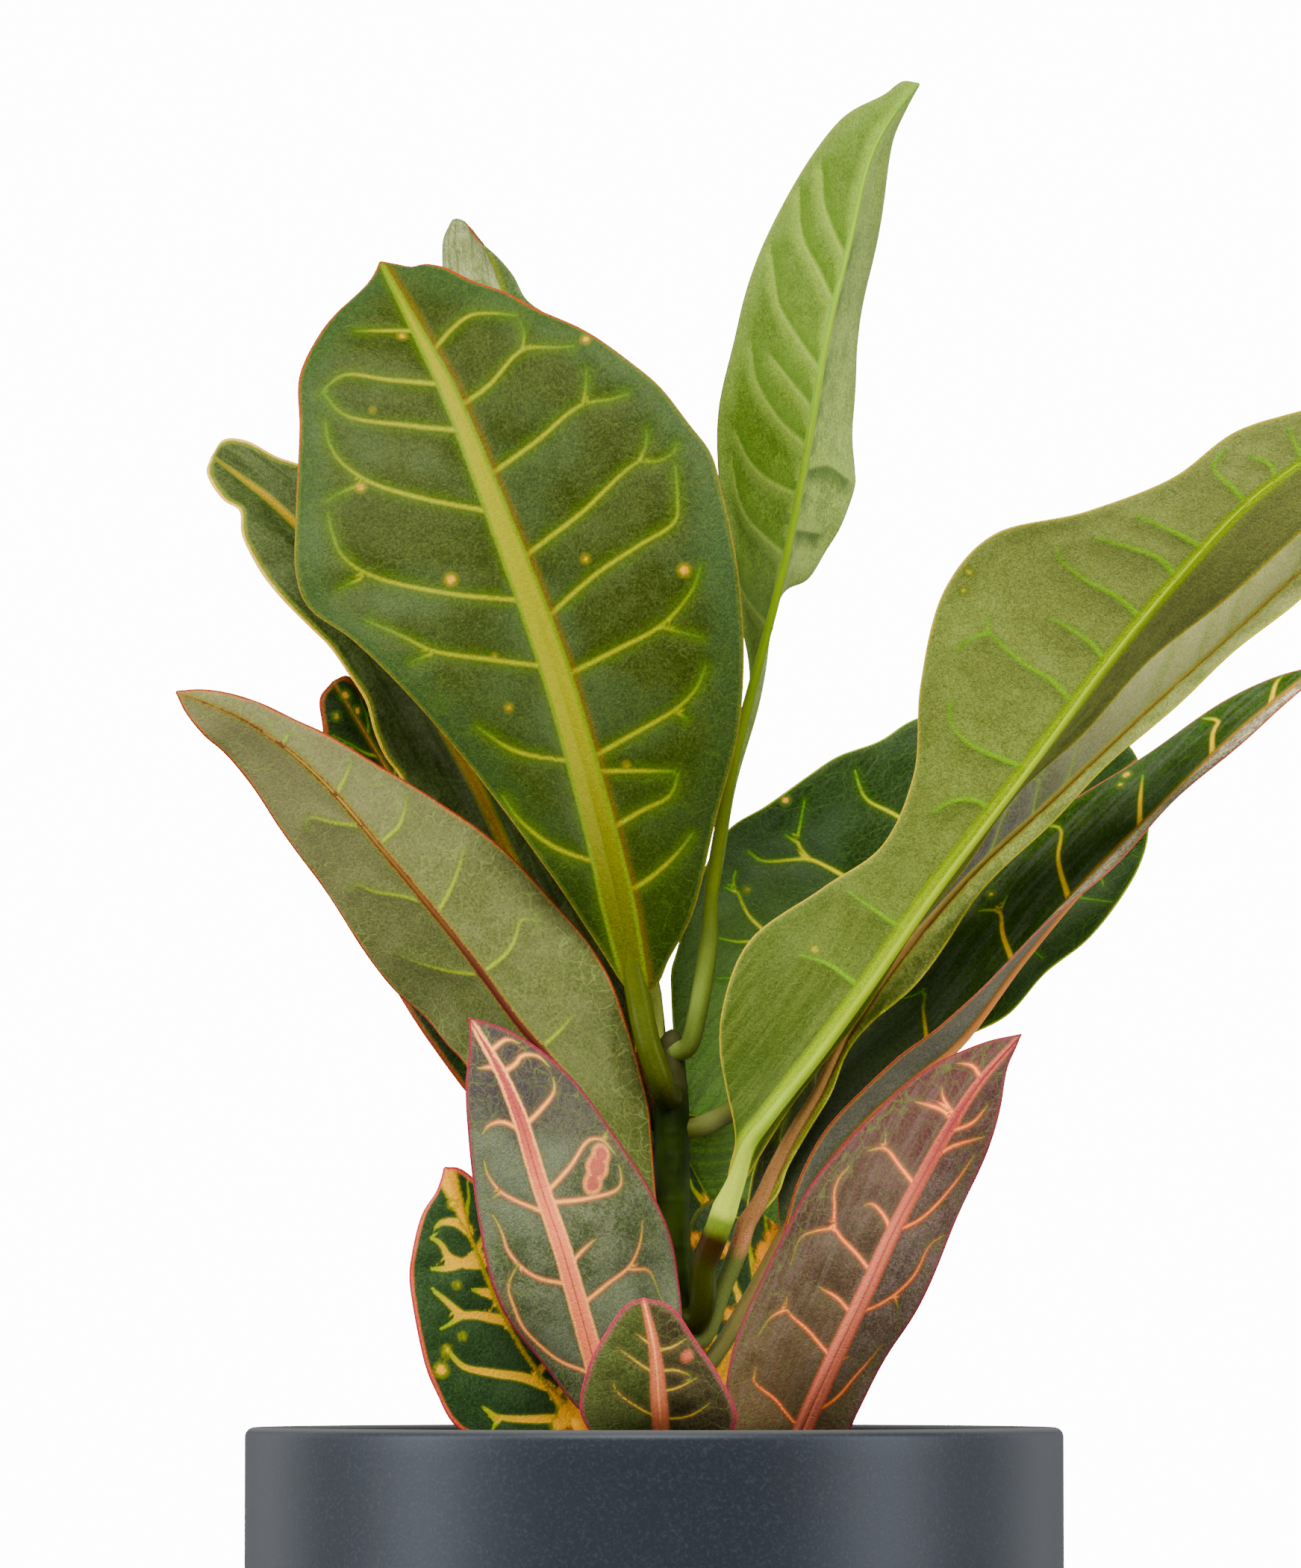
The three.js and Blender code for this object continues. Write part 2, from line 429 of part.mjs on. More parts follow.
function soilSolid() {
  const edge = POT_RADIUS - POT_WALL - CLEARANCE;
  const level = POT_HEIGHT - SOIL_DROP;
  const profile = [
    new THREE.Vector2(0, POT_FLOOR + CLEARANCE),
    new THREE.Vector2(edge, POT_FLOOR + CLEARANCE),
    new THREE.Vector2(edge, level - SOIL_CROWN),
    new THREE.Vector2(edge * 0.75, level - SOIL_CROWN * 0.35),
    new THREE.Vector2(edge * 0.4, level),
    new THREE.Vector2(0, level),
  ];
  const mound = solid(new THREE.LatheGeometry(profile, POT_SIDES).rotateX(Math.PI / 2));
  const bore = new THREE.CylinderGeometry(
    STEM_FOOT_RADIUS + CLEARANCE, STEM_FOOT_RADIUS + CLEARANCE, 2 * (STEM_DEPTH + CLEARANCE), STEM_SIDES,
  );
  bore.rotateX(Math.PI / 2).translate(STEM_X, 0, level);
  return mound.subtract(solid(bore));
}

function stemGeometry() {
  const foot = POT_HEIGHT - SOIL_DROP - STEM_DEPTH;
  const profile = [
    new THREE.Vector2(0, foot),
    new THREE.Vector2(STEM_FOOT_RADIUS - 0.4, foot),
    new THREE.Vector2(STEM_FOOT_RADIUS - 0.4, POT_HEIGHT - SOIL_DROP),
  ];
  for (let up = -SOIL_DROP + SCAR_SPACING; up < STEM_TOP; up += SCAR_SPACING) {
    profile.push(new THREE.Vector2(stemRadius(up) - 0.1, POT_HEIGHT + up - SCAR_SPACING / 2));
    profile.push(new THREE.Vector2(stemRadius(up) + SCAR_SWELL - 0.1, POT_HEIGHT + up));
  }
  profile.push(new THREE.Vector2(STEM_TOP_RADIUS * 0.8, POT_HEIGHT + STEM_TOP));
  profile.push(new THREE.Vector2(STEM_TOP_RADIUS * 0.4, POT_HEIGHT + STEM_TOP + BUD_HEIGHT * 0.7));
  profile.push(new THREE.Vector2(0, POT_HEIGHT + STEM_TOP + BUD_HEIGHT));
  return new THREE.LatheGeometry(profile, STEM_SIDES).rotateX(Math.PI / 2).translate(STEM_X, 0, 0);
}

function piece(name, geometry, colour, roughness) {
  const material = new THREE.MeshStandardMaterial({ color: colour, roughness, metalness: 0 });
  const mesh = new THREE.Mesh(geometry, material);
  mesh.name = name;
  return mesh;
}

const croton = new THREE.Group();
croton.name = 'potted_croton';
croton.add(piece('pot', potGeometry(), '#323844', 0.55));
croton.add(piece('soil', surface(soilSolid()), '#2c211a', 0.95));
croton.add(piece('stem', stemGeometry(), '#5a6e50', 0.7));
for (const leaf of LEAVES) {
  const body = solid(bladeGeometry(leaf)).add(solid(petioleGeometry(leaf)));
  croton.add(piece(leaf.name, surface(body), leaf.colour, 0.4));
}

export default croton;
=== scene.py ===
# %% [markdown]
# # A potted croton
# A croton is a house plant with broad leathery leaves, painted by its own veins: dark green ground, yellow
# and orange veins, a red margin. This one stands in a straight-sided slate-grey pot.
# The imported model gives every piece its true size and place. This lesson keeps those places and adds what
# makes a croton look like one: thin curved blades, veins that stand out of them, and their colours.

# %% The frame
import math

import bpy
import numpy as np
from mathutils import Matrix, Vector


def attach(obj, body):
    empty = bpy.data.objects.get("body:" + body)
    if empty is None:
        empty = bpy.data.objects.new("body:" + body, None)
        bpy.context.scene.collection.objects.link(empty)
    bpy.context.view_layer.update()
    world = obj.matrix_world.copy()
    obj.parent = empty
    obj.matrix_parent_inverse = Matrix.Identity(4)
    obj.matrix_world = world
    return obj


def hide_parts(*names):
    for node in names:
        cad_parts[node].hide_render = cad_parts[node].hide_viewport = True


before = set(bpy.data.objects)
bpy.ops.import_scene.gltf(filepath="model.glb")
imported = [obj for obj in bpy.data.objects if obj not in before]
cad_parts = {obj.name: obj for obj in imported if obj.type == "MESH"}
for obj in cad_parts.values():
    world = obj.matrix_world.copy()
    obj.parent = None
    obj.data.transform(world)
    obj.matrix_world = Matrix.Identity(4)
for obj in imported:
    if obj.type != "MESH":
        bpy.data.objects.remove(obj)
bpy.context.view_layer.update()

# %% [markdown]
# ## Camera, backdrop and light
# The camera comes first, because the leaves are described as they are seen from it: so far right, so far
# up, so far behind the pot's axis. A long lens far away keeps the pot's sides upright, as a product
# photograph does. The backdrop is a wide bowl round the plant. Away from the pot it glows white, for the
# camera only, so no horizon shows and it throws no light. The light is a large soft panel at each side and
# one above and in front, because the leaves' wax needs broad reflections. Two weaker panels stand behind,
# one at each side, and brighten the pot's edges. A faint even light from all round fills the shadows.

# %% Camera
MM = 0.001
EYE_DISTANCE = 1.8
EYE_HEIGHT = 0.154
AIM = Vector((-0.00068, 0.0, 0.258))
SENSOR = 36.0
LENS = 225.07  # millimetres

camera_data = bpy.data.cameras.new("camera")
camera_data.sensor_width = SENSOR
camera_data.lens = LENS
camera_data.clip_start = 0.05
camera = bpy.data.objects.new("camera", camera_data)
bpy.context.scene.collection.objects.link(camera)
camera.location = (0.0, -EYE_DISTANCE, EYE_HEIGHT)
camera.rotation_mode = "QUATERNION"
camera.rotation_quaternion = (AIM - camera.location).to_track_quat("-Z", "Y")
bpy.context.scene.camera = camera
print("camera", tuple(round(v, 3) for v in camera.location), "lens", LENS)


# %% Making a mesh from whole arrays
def add_mesh(name, points, faces, slots=None, smooth=True):
    """Puts an array of points, in metres, and a list of faces into one new object at the origin."""
    mesh = bpy.data.meshes.new(name)
    mesh.from_pydata(points.tolist(), [], faces)
    mesh.update()
    if slots is not None:
        mesh.polygons.foreach_set("material_index", np.asarray(slots, np.int32))
    mesh.polygons.foreach_set("use_smooth", np.full(len(mesh.polygons), smooth))
    made = bpy.data.objects.new(name, mesh)
    bpy.context.scene.collection.objects.link(made)
    return made


def grid_faces(rows, columns, first=0, flip=False, ring=False):
    """The quads of a grid of rows by columns points, numbered row by row. A ring also closes each row."""
    number = first + np.arange(rows * columns).reshape(rows, columns)
    if ring:
        number = np.hstack([number, number[:, :1]])
    quads = np.stack([number[:-1, :-1], number[:-1, 1:], number[1:, 1:], number[1:, :-1]], axis=-1)
    quads = quads.reshape(-1, 4)
    return quads[:, ::-1] if flip else quads


def solid_faces(rings, sides, first=0):
    """The faces of a closed solid: an end point, rings of points, and another end point."""
    around = np.arange(sides)
    after = (around + 1) % sides
    last = 1 + (rings - 1) * sides
    foot = np.stack([np.zeros(sides, int), 1 + after, 1 + around], axis=1)
    top = np.stack([np.full(sides, last + sides), last + around, last + after], axis=1)
    quads = grid_faces(rings, sides, first + 1, ring=True)
    return [*quads.tolist(), *(foot + first).tolist(), *(top + first).tolist()]


# %% [markdown]
# ## A material written as sums
# A material is a graph of nodes, and a graph is hard to read in a script. Here one small class wraps a
# socket, so that adding two wires adds a Math node, and the colour of a leaf can be read as a formula.

# %% Wires and finishes
LIGHT = 2.2  # how bright a white surface shows in this scene's light
GLOSS = 0.014  # the light that the wax itself sends back


def paint(colour):
    """The base colour of what should show as three 0 to 255 values in the finished picture.

    The picture's tone curve is nearly logistic: the light is 0.21 times the odds of the value to the power
    of 1.18. Less the wax's own shine, and divided by the light on a white surface, it is the base colour.
    """
    share = np.clip(np.asarray(colour, float) / 255, 0.004, 0.97)
    light = 0.21 * (share / (1 - share)) ** 1.18
    return (*np.clip((light - GLOSS) / LIGHT, 0.0005, 0.95).tolist(), 1.0)


class Wire:
    """A socket that can be added, multiplied and compared."""

    def __init__(self, finish, socket):
        self.finish = finish
        self.socket = socket

    def math(self, operation, *others):
        values = {i: value for i, value in enumerate((self, *others))}
        return self.finish.node("Math", {"operation": operation}, values)

    def __add__(self, other):
        return self.math("ADD", other)

    __radd__ = __add__

    def __mul__(self, other):
        return self.math("MULTIPLY", other)

    __rmul__ = __mul__

    def __sub__(self, other):
        return self.math("SUBTRACT", other)

    def __rsub__(self, other):
        return self.finish.node("Math", {"operation": "SUBTRACT"}, {0: other, 1: self})

    def __truediv__(self, other):
        return self.math("DIVIDE", other)

    def __abs__(self):
        return self.math("ABSOLUTE")

    def least(self, other):
        """The smaller of two."""
        return self.math("MINIMUM", other)

    def most(self, other):
        """The larger of two."""
        return self.math("MAXIMUM", other)

    def rise(self, low, high):
        """0 below low, 1 above high, and a smooth step between them."""
        settings = {"interpolation_type": "SMOOTHSTEP"}
        return self.finish.node("MapRange", settings, {0: self, 1: low, 2: high, 3: 0.0, 4: 1.0})

    def fall(self, low, high):
        """1 below low, 0 above high, and a smooth step between them."""
        settings = {"interpolation_type": "SMOOTHSTEP"}
        return self.finish.node("MapRange", settings, {0: self, 1: low, 2: high, 3: 1.0, 4: 0.0})


class Finish:
    """A material whose nodes are added by name."""

    def __init__(self, name):
        self.material = bpy.data.materials.new(name)
        self.material.use_nodes = True
        self.tree = self.material.node_tree
        self.tree.nodes.clear()

    def node(self, kind, settings=None, values=None, out=0):
        """Adds a node: its settings come first, then a value or a wire for each socket."""
        made = self.tree.nodes.new("ShaderNode" + kind)
        for key, value in (settings or {}).items():
            setattr(made, key, value)
        for key, value in (values or {}).items():
            if isinstance(value, Wire):
                self.tree.links.new(value.socket, made.inputs[key])
            else:
                made.inputs[key].default_value = value
        return Wire(self, made.outputs[out])

    def attribute(self, name, out="Fac"):
        """What each point of the mesh knows under that name."""
        return self.node("Attribute", {"attribute_name": name}, out=out)

    def place(self):
        """Where a point lies, in metres from the origin."""
        return self.node("TexCoord", out=3)

    def up(self, place):
        """The height of a place."""
        return self.node("SeparateXYZ", None, {0: place}, out=2)

    def stretch(self, place, scale):
        """A place with its axes scaled, so that a noise on it is drawn out where the scale is small."""
        return self.node("Mapping", None, {"Vector": place, "Scale": scale})

    def lit(self, colour, light):
        """A colour made lighter or darker."""
        return self.node("VectorMath", {"operation": "SCALE"}, {0: colour, "Scale": light})

    def mix(self, first, second, share):
        """A colour that goes from the first to the second as the share goes from 0 to 1."""
        return self.node("Mix", {"data_type": "RGBA"}, {0: share, 6: first, 7: second}, out=2)

    def noise(self, place, scale, detail=3.0, roughness=0.55):
        """Soft random patches from 0 to 1, the smaller the higher the scale."""
        values = {"Vector": place, "Scale": scale, "Detail": detail, "Roughness": roughness}
        return self.node("TexNoise", None, values)

    def cells(self, place, scale, randomness=0.9):
        """The distance from the edges of a net of cells."""
        values = {"Vector": place, "Scale": scale, "Randomness": randomness}
        return self.node("TexVoronoi", {"feature": "DISTANCE_TO_EDGE"}, values)

    def bump(self, height, strength, distance):
        """The normal of a surface that a height roughens by a distance in metres."""
        values = {"Strength": strength, "Distance": distance, "Height": height}
        return self.node("Bump", None, values)

    def close(self, colour, roughness, normal=None, **constants):
        """Ends the material with its shader. The constants are set on the shader's own sockets."""
        values = {"Base Color": colour, "Roughness": roughness}
        if normal is not None:
            values["Normal"] = normal
        values.update({key.replace("_", " "): value for key, value in constants.items()})
        shader = self.node("BsdfPrincipled", None, values)
        end = self.tree.nodes.new("ShaderNodeOutputMaterial")
        self.tree.links.new(shader.socket, end.inputs["Surface"])
        return self.material


# %% Backdrop
FLOOR_RINGS = [0.02, 0.3, 0.6, 1.2]
FLOOR_RADIUS = 3.0
BEND = 0.8
WALL_TOP = 4.0
BEND_STEPS = 16
BACKDROP_SIDES = 96
GLOW = 14.0
ROOM_LIGHT = 0.45

bend_angle = np.linspace(0, math.pi / 2, BEND_STEPS)
bend_radius = FLOOR_RADIUS + BEND * np.sin(bend_angle)
bowl_radius = np.concatenate([FLOOR_RINGS, bend_radius, [FLOOR_RADIUS + BEND]])
bowl_height = np.concatenate([np.zeros(len(FLOOR_RINGS)), BEND - BEND * np.cos(bend_angle), [WALL_TOP]])
around = np.linspace(0, 2 * math.pi, BACKDROP_SIDES, endpoint=False)
bowl_x = bowl_radius[:, None] * np.cos(around)
bowl_y = bowl_radius[:, None] * np.sin(around)
bowl = np.stack(np.broadcast_arrays(bowl_x, bowl_y, bowl_height[:, None]), axis=-1)
bowl_faces = grid_faces(len(bowl_radius), BACKDROP_SIDES, ring=True)
backdrop = add_mesh("backdrop", bowl.reshape(-1, 3), bowl_faces.tolist())
paper = Finish("backdrop_paper")
from_pot = paper.node("VectorMath", {"operation": "LENGTH"}, {0: paper.place()}, out=1)
glow = paper.mix((0, 0, 0, 1), (1, 1, 1, 1), from_pot.rise(0.25, 0.9))
backdrop.data.materials.append(
    paper.close(paint((235, 235, 235)), 0.9, Emission_Color=glow, Emission_Strength=GLOW))
backdrop.visible_diffuse = False
backdrop.visible_glossy = False
backdrop.visible_shadow = False


# %% Lights
def panel(name, place, width, height, watts, target=(0.0, 0.0, 0.24)):
    """A flat soft light that faces a point of the plant."""
    light = bpy.data.lights.new(name, "AREA")
    light.shape = "RECTANGLE"
    light.size = width
    light.size_y = height
    light.energy = watts
    made = bpy.data.objects.new(name, light)
    bpy.context.scene.collection.objects.link(made)
    made.location = place
    made.rotation_mode = "QUATERNION"
    made.rotation_quaternion = (Vector(target) - Vector(place)).to_track_quat("-Z", "Y")
    made.visible_camera = False
    return made


panel("left_panel", (-1.35, -0.6, 0.55), 0.5, 1.2, 20.0)
panel("right_panel", (1.35, -0.62, 0.5), 0.5, 1.2, 17.0)
panel("top_panel", (-0.12, -1.1, 1.25), 1.1, 0.8, 30.0)
panel("left_back_panel", (-1.2, 0.85, 0.4), 0.7, 1.2, 4.2)
panel("right_back_panel", (1.2, 0.85, 0.4), 0.7, 1.2, 3.6)
world = bpy.data.worlds.new("studio")
world.use_nodes = True
room = world.node_tree.nodes["Background"]
room.inputs["Color"].default_value = (1.0, 1.0, 1.0, 1.0)
room.inputs["Strength"].default_value = ROOM_LIGHT
bpy.context.scene.world = world

# %% [markdown]
# ## The leaves' outlines
# Every leaf is a midrib and two margins. Each is a list of a few points as seen from the front, in
# millimetres: right of the pot's axis, up from the pot's lip, and behind the axis. They are the packed
# model's own points, but for a few on two leaves' margins that are moved by up to 3 mm, so a leaf stays
# where its solid is. The points were picked on the photograph, or made up for the leaves that it
# hides, depths were chosen, and a program turned the picks into millimetres. A leaf could also be one flat
# shape, bent afterwards, but crotons twist and fold so freely that three curves in space are simpler.

# %% Outlines
LEAVES = [
    dict(
        name="leaf_top_front", bearing=-105, height=61, petiole=2.3, belly=1.5,
        via=[[1.2, 63.5, -8], [-0.5, 68.3, -9], [-1.9, 73.5, -8.5]],
        rib=[[-3, 79, -8], [-6.5, 95, -13], [-10, 109.5, -16], [-18, 138, -19], [-28, 165.5, -19],
             [-38, 190.5, -14], [-44, 202, -8], [-50.5, 214.5, 2]],
        left=[[-6, 82, -9], [-9.5, 87, -11], [-12.5, 91.5, -13], [-19.5, 102, -18], [-39.5, 128, -25],
              [-55.5, 144.5, -27], [-64, 151, -25], [-66, 156.5, -24], [-66, 166.5, -21],
              [-65.5, 184, -16], [-65.5, 193, -13], [-62, 200.5, -9], [-59, 204.5, -6], [-52.5, 211, 0]],
        right=[[0.5, 81.5, -9], [2.5, 85.5, -10.5], [7, 94, -14], [11.5, 112, -20], [15.5, 127.5, -24],
               [16.5, 143.5, -27], [15, 160.5, -28], [12.5, 172, -27], [10.5, 179, -26],
               [6.5, 184.5, -25], [1, 191.5, -23], [-4.5, 196, -21], [-12.5, 201.5, -18],
               [-22, 206, -14], [-27.5, 209, -11], [-33.5, 211, -7], [-39, 213.5, -3], [-42.5, 214, -1],
               [-44.5, 213.5, 0], [-47.5, 214, 2]],
    ),
    dict(
        name="leaf_top_upright", bearing=-42, height=69.5, petiole=1.8, belly=0.5,
        via=[[8, 76, -5]],
        rib=[[10, 89, -5], [11, 99, -6], [15, 121, -8], [19.5, 139, -9], [23, 153, -10],
             [25.5, 165, -10], [28.5, 180.5, -10], [32, 200.5, -9], [36, 217.5, -7], [40, 234, -3],
             [44, 241.5, 0], [49, 247.5, 3]],
        left=[[10, 100, -3], [13, 119.5, 3], [17.5, 139, 6], [13.5, 160.5, 9], [12, 171.5, 9],
              [12, 180, 9], [12.5, 189.5, 8], [14.5, 200.5, 7], [16.5, 208, 6], [21, 219, 5],
              [27.5, 232, 3], [33.5, 240, 2], [36.5, 242.5, 2], [42.5, 245.5, 3], [46, 248, 3]],
        right=[[12, 100, -4], [16, 121, -1], [20.5, 139, 0], [24, 153, 2], [28, 156, 6], [31, 161, 8],
               [34.5, 166, 8], [37.5, 173, 9], [37.5, 176, 9], [36.5, 183.5, 9], [37, 196.5, 8],
               [38, 202.5, 8], [40.5, 214.5, 6], [43.5, 234, 3], [44.5, 238, 3], [46.5, 242.5, 3]],
    ),
    dict(
        name="leaf_top_behind", bearing=120, height=66, petiole=1.5, belly=-1,
        rib=[[0, 77.5, 7], [-1.5, 97.5, 14], [-5, 123.5, 22], [-11, 152.5, 28], [-19, 177, 30],
             [-24.5, 196.5, 28], [-28, 209.5, 25], [-30, 215, 22], [-31.5, 217.5, 20]],
        left=[[-5.5, 95.5, 15], [-15.5, 123.5, 24], [-25.5, 148.5, 30], [-34, 174.5, 31],
              [-38.5, 196.5, 28], [-39, 210.5, 25], [-39, 218.5, 22], [-38, 221, 21], [-37, 222.5, 20],
              [-35, 222, 20], [-34, 220.5, 20], [-32.5, 218.5, 20]],
        right=[[2.5, 97.5, 14], [4, 123.5, 22], [1, 152.5, 28], [-4.5, 180, 31], [-10.5, 196.5, 30],
               [-18, 203.5, 28], [-23.5, 207.5, 26], [-26, 212, 24], [-29, 215.5, 22]],
    ),
    dict(
        name="leaf_left_high", bearing=155, height=53, petiole=1.5, belly=1.5,
        rib=[[-5.5, 64.5, 7], [-14, 79.5, 10], [-21, 93, 11], [-28, 107.5, 11], [-33, 118, 10],
             [-37.5, 126, 10], [-43.5, 136.5, 9], [-52, 151, 9], [-61.5, 161.5, 10], [-71, 170.5, 12],
             [-81.5, 178.5, 16]],
        left=[[-12, 66, 8], [-25.5, 79.5, 10], [-38, 99.5, 9], [-47, 119.5, 6], [-49.5, 123, 5],
              [-51.5, 127.5, 4], [-53, 133, 4], [-56.5, 138.5, 4], [-60, 143.5, 4], [-63, 146.5, 4],
              [-69, 152.5, 5], [-72.5, 157, 7], [-76, 164, 8], [-76.5, 168.5, 9], [-79.5, 170.5, 11],
              [-82.5, 175.5, 14]],
        right=[[-3, 70.5, 7], [-3, 77.5, 8], [-4.5, 85, 9.5], [-10.5, 100, 13], [-19.5, 125, 15],
               [-30, 145.5, 15], [-41, 161.5, 15], [-53, 172.5, 15], [-66.5, 177.5, 15],
               [-69.5, 178.5, 15], [-75.5, 181.5, 15], [-79.5, 181.5, 16]],
    ),
    dict(
        name="leaf_left_inner", bearing=188, height=40, petiole=1.5, belly=1,
        rib=[[-3, 48, 7], [-16, 67, 15], [-32.5, 92, 22], [-45.5, 114.5, 25], [-53, 127, 24],
             [-59, 137, 22]],
        left=[[-16, 48, 10], [-29.5, 56, 13], [-41, 70, 16], [-49.5, 83.5, 19], [-57, 97.5, 21],
              [-61.5, 114, 23], [-61, 127.5, 23], [-61.5, 134, 23]],
        right=[[1, 50, 8], [1, 56, 10], [-1, 64.5, 12], [-5.5, 74, 15], [-18, 90.5, 21],
               [-29.5, 108.5, 25], [-40.5, 122, 26], [-50.5, 131, 25], [-56.5, 138, 22]],
    ),
    dict(
        name="leaf_left_front", bearing=-120, height=28, petiole=1.9, belly=0.5,
        rib=[[0.5, 37, -8], [-3.5, 44, -10], [-12, 57.5, -13], [-18.5, 66.5, -14], [-25, 74, -15],
             [-35, 87.5, -17], [-48, 103.5, -19], [-62.5, 120, -22], [-75, 129.5, -26], [-88, 135, -30]],
        left=[[-7.5, 39, -8], [-20, 46.5, -5], [-29.5, 56, -3], [-34.5, 66, -2], [-38.5, 70, -2],
              [-42.5, 75, -2], [-47, 79.5, -3], [-50.5, 84, -5], [-55, 90, -8], [-62, 100, -12],
              [-65.5, 105, -14], [-69.5, 111, -16], [-73.5, 117, -19], [-79, 123.5, -23],
              [-83, 127, -27], [-86.5, 131.5, -29]],
        right=[[-0.5, 51.5, -4], [-1, 59, -4], [-3, 67.5, -5], [-5.5, 75, -6], [-8.5, 82.5, -8],
               [-12.5, 89.5, -9], [-17.5, 95.5, -10], [-24, 102.5, -12], [-31, 108.5, -14],
               [-38, 113.5, -15], [-44.5, 118, -16], [-53, 123, -18], [-61, 127.5, -21],
               [-65.5, 129.5, -22], [-72.5, 133, -25], [-79, 135, -27], [-84, 135.5, -28]],
    ),
    dict(
        name="leaf_low_left_front", bearing=-150, height=-8, petiole=1.6, belly=0.5,
        rib=[[-7.5, -0.5, -14], [-12, 15.5, -22], [-14.5, 24.5, -26], [-17, 33, -29], [-21, 44.5, -31],
             [-24.5, 56, -32], [-28, 64.5, -31], [-34, 75, -28]],
        left=[[-13.5, 3, -13], [-19.5, 10, -15], [-27.5, 21.5, -19], [-32.5, 37.5, -23],
              [-34, 54.5, -26], [-34.5, 63, -27], [-34, 69, -28]],
        right=[[0.5, 5.5, -12], [5, 17, -12], [4.5, 28.5, -13], [2.5, 36, -16], [-5, 50, -21],
               [-15, 64, -25], [-26.5, 72.5, -27]],
    ),
    dict(
        name="leaf_low_front", bearing=-95, height=-14, petiole=1.5, belly=0.5,
        rib=[[1.5, -4.5, -22], [1, 3, -34], [0, 14.5, -43], [-2, 23.5, -48]],
        left=[[-9, -3.5, -24], [-13.5, 2, -28], [-12, 11, -35], [-9, 17, -40], [-5, 22.5, -46]],
        right=[[11.5, -3.5, -24], [15, 1.5, -28], [12.5, 8.5, -34], [8, 15.5, -40], [2.5, 22.5, -46]],
    ),
    dict(
        name="leaf_low_right_front", bearing=-50, height=-8, petiole=1.8, belly=0.5,
        rib=[[25, -5.5, -16], [27.5, 0.5, -22], [32.5, 11.5, -32], [38, 23, -39], [44, 36, -44],
             [48.5, 44.5, -46], [58.5, 61.5, -47], [67.5, 72, -44]],
        left=[[14.4, -0.5, -14], [13.4, 7, -15], [16.5, 20, -20], [24, 36, -28], [35.5, 52.5, -36],
              [48.5, 64.5, -40], [61, 70.5, -42]],
        right=[[33.5, -3.5, -17], [37.5, 3, -22], [43.5, 14, -28], [47.5, 21, -32], [53, 31.5, -37],
               [57.5, 42, -39], [61.5, 52, -42], [63.5, 58.5, -43], [65, 66, -44], [66.5, 69.5, -44]],
    ),
    dict(
        name="leaf_low_left", bearing=178, height=-5, petiole=1.5, belly=0.5,
        rib=[[-13.5, 0, -4], [-20, 8, -6], [-27, 19, -8], [-33, 33, -10], [-38.5, 47.5, -12]],
        left=[[-25.5, -3.5, -3], [-36, 0, -3], [-40, 6.5, -4], [-42, 11, -5], [-44.5, 22.5, -7],
              [-45, 27.5, -7], [-44.5, 31.5, -8], [-42.5, 39, -9], [-40, 43, -10]],
        right=[[-10.5, 8.5, -2], [-13, 19, -2], [-19.5, 30, -4], [-27, 40, -7], [-32.5, 45, -9],
               [-36, 47.5, -11]],
    ),
    dict(
        name="leaf_low_right", bearing=48, height=-8, petiole=1.4, belly=0.5,
        rib=[[9.5, 3.5, 6], [13.5, 12.5, 9], [17.5, 22, 12], [20.5, 30, 13], [22, 37.5, 13]],
        left=[[7.5, 8.5, 8], [5, 20.5, 10], [5.5, 31.5, 12], [8, 40, 13], [15, 42.5, 14]],
        right=[[19.5, 7.5, 8], [27.5, 18, 10], [29.5, 29, 10], [26.5, 35, 12]],
    ),
    dict(
        name="leaf_right_front", bearing=-30, height=20, petiole=2.4, belly=1,
        via=[[9, 23.5, -4.8], [9.2, 29.6, -6.4], [11.2, 35, -7.3]],
        rib=[[13, 40, -8], [15, 45.5, -10], [17, 51.5, -12], [20.5, 56, -14], [24.5, 61, -15.5],
             [30.5, 68.5, -18.5], [39, 80, -23], [51.5, 98, -29], [69.5, 121.5, -37], [84, 141, -44],
             [95.5, 155, -50], [109.5, 170, -56], [122.5, 180, -60], [135, 192, -64]],
        left=[[14, 47.5, -10], [15, 52.5, -10.5], [13, 62.5, -9], [12, 68.5, -9], [12.5, 76, -10.5],
              [17.5, 89, -14], [31, 99, -22], [42, 106.5, -28], [47.5, 119.5, -34], [49, 136, -40],
              [53.5, 154, -47], [62.5, 164, -52], [80, 168.5, -56], [95.5, 174.5, -58], [107, 183, -60],
              [121, 187.5, -62]],
        right=[[17, 46, -8.5], [23, 55.5, -8], [31.5, 67, -7], [41.5, 81, -10], [51.5, 95.5, -15],
               [59.5, 106.5, -20], [67.5, 116, -25], [81.5, 130.5, -32], [97.5, 146, -40],
               [114, 159.5, -50], [125.5, 171.5, -57]],
    ),
    dict(
        name="leaf_right_middle", bearing=0, height=16, petiole=1.8, belly=0.5,
        via=[[12.5, 25.3, -1], [15.5, 32.6, -1.8]],
        rib=[[17, 37.5, -2], [19.5, 41, -2.4], [22, 46, -3], [25.5, 53, -4], [30, 60.5, -4.6],
             [34, 68.5, -5.3], [38.5, 76, -6], [45, 85.5, -8], [59.5, 102, -12], [72.5, 114, -17],
             [90, 130.5, -25], [106, 145, -33], [118.5, 156.5, -40], [131, 166, -45]],
        left=[[18.5, 48, 3], [24.5, 61.5, 4], [33.5, 77, 4], [46, 96, 2], [62.5, 115, -3],
              [81.5, 135, -11], [99.5, 151, -21], [114.5, 163.5, -33], [125.5, 167.5, -41]],
        right=[[22.5, 42.5, -2.5], [24.5, 47.5, -3], [28, 53.5, -4], [32.5, 61, -5.5],
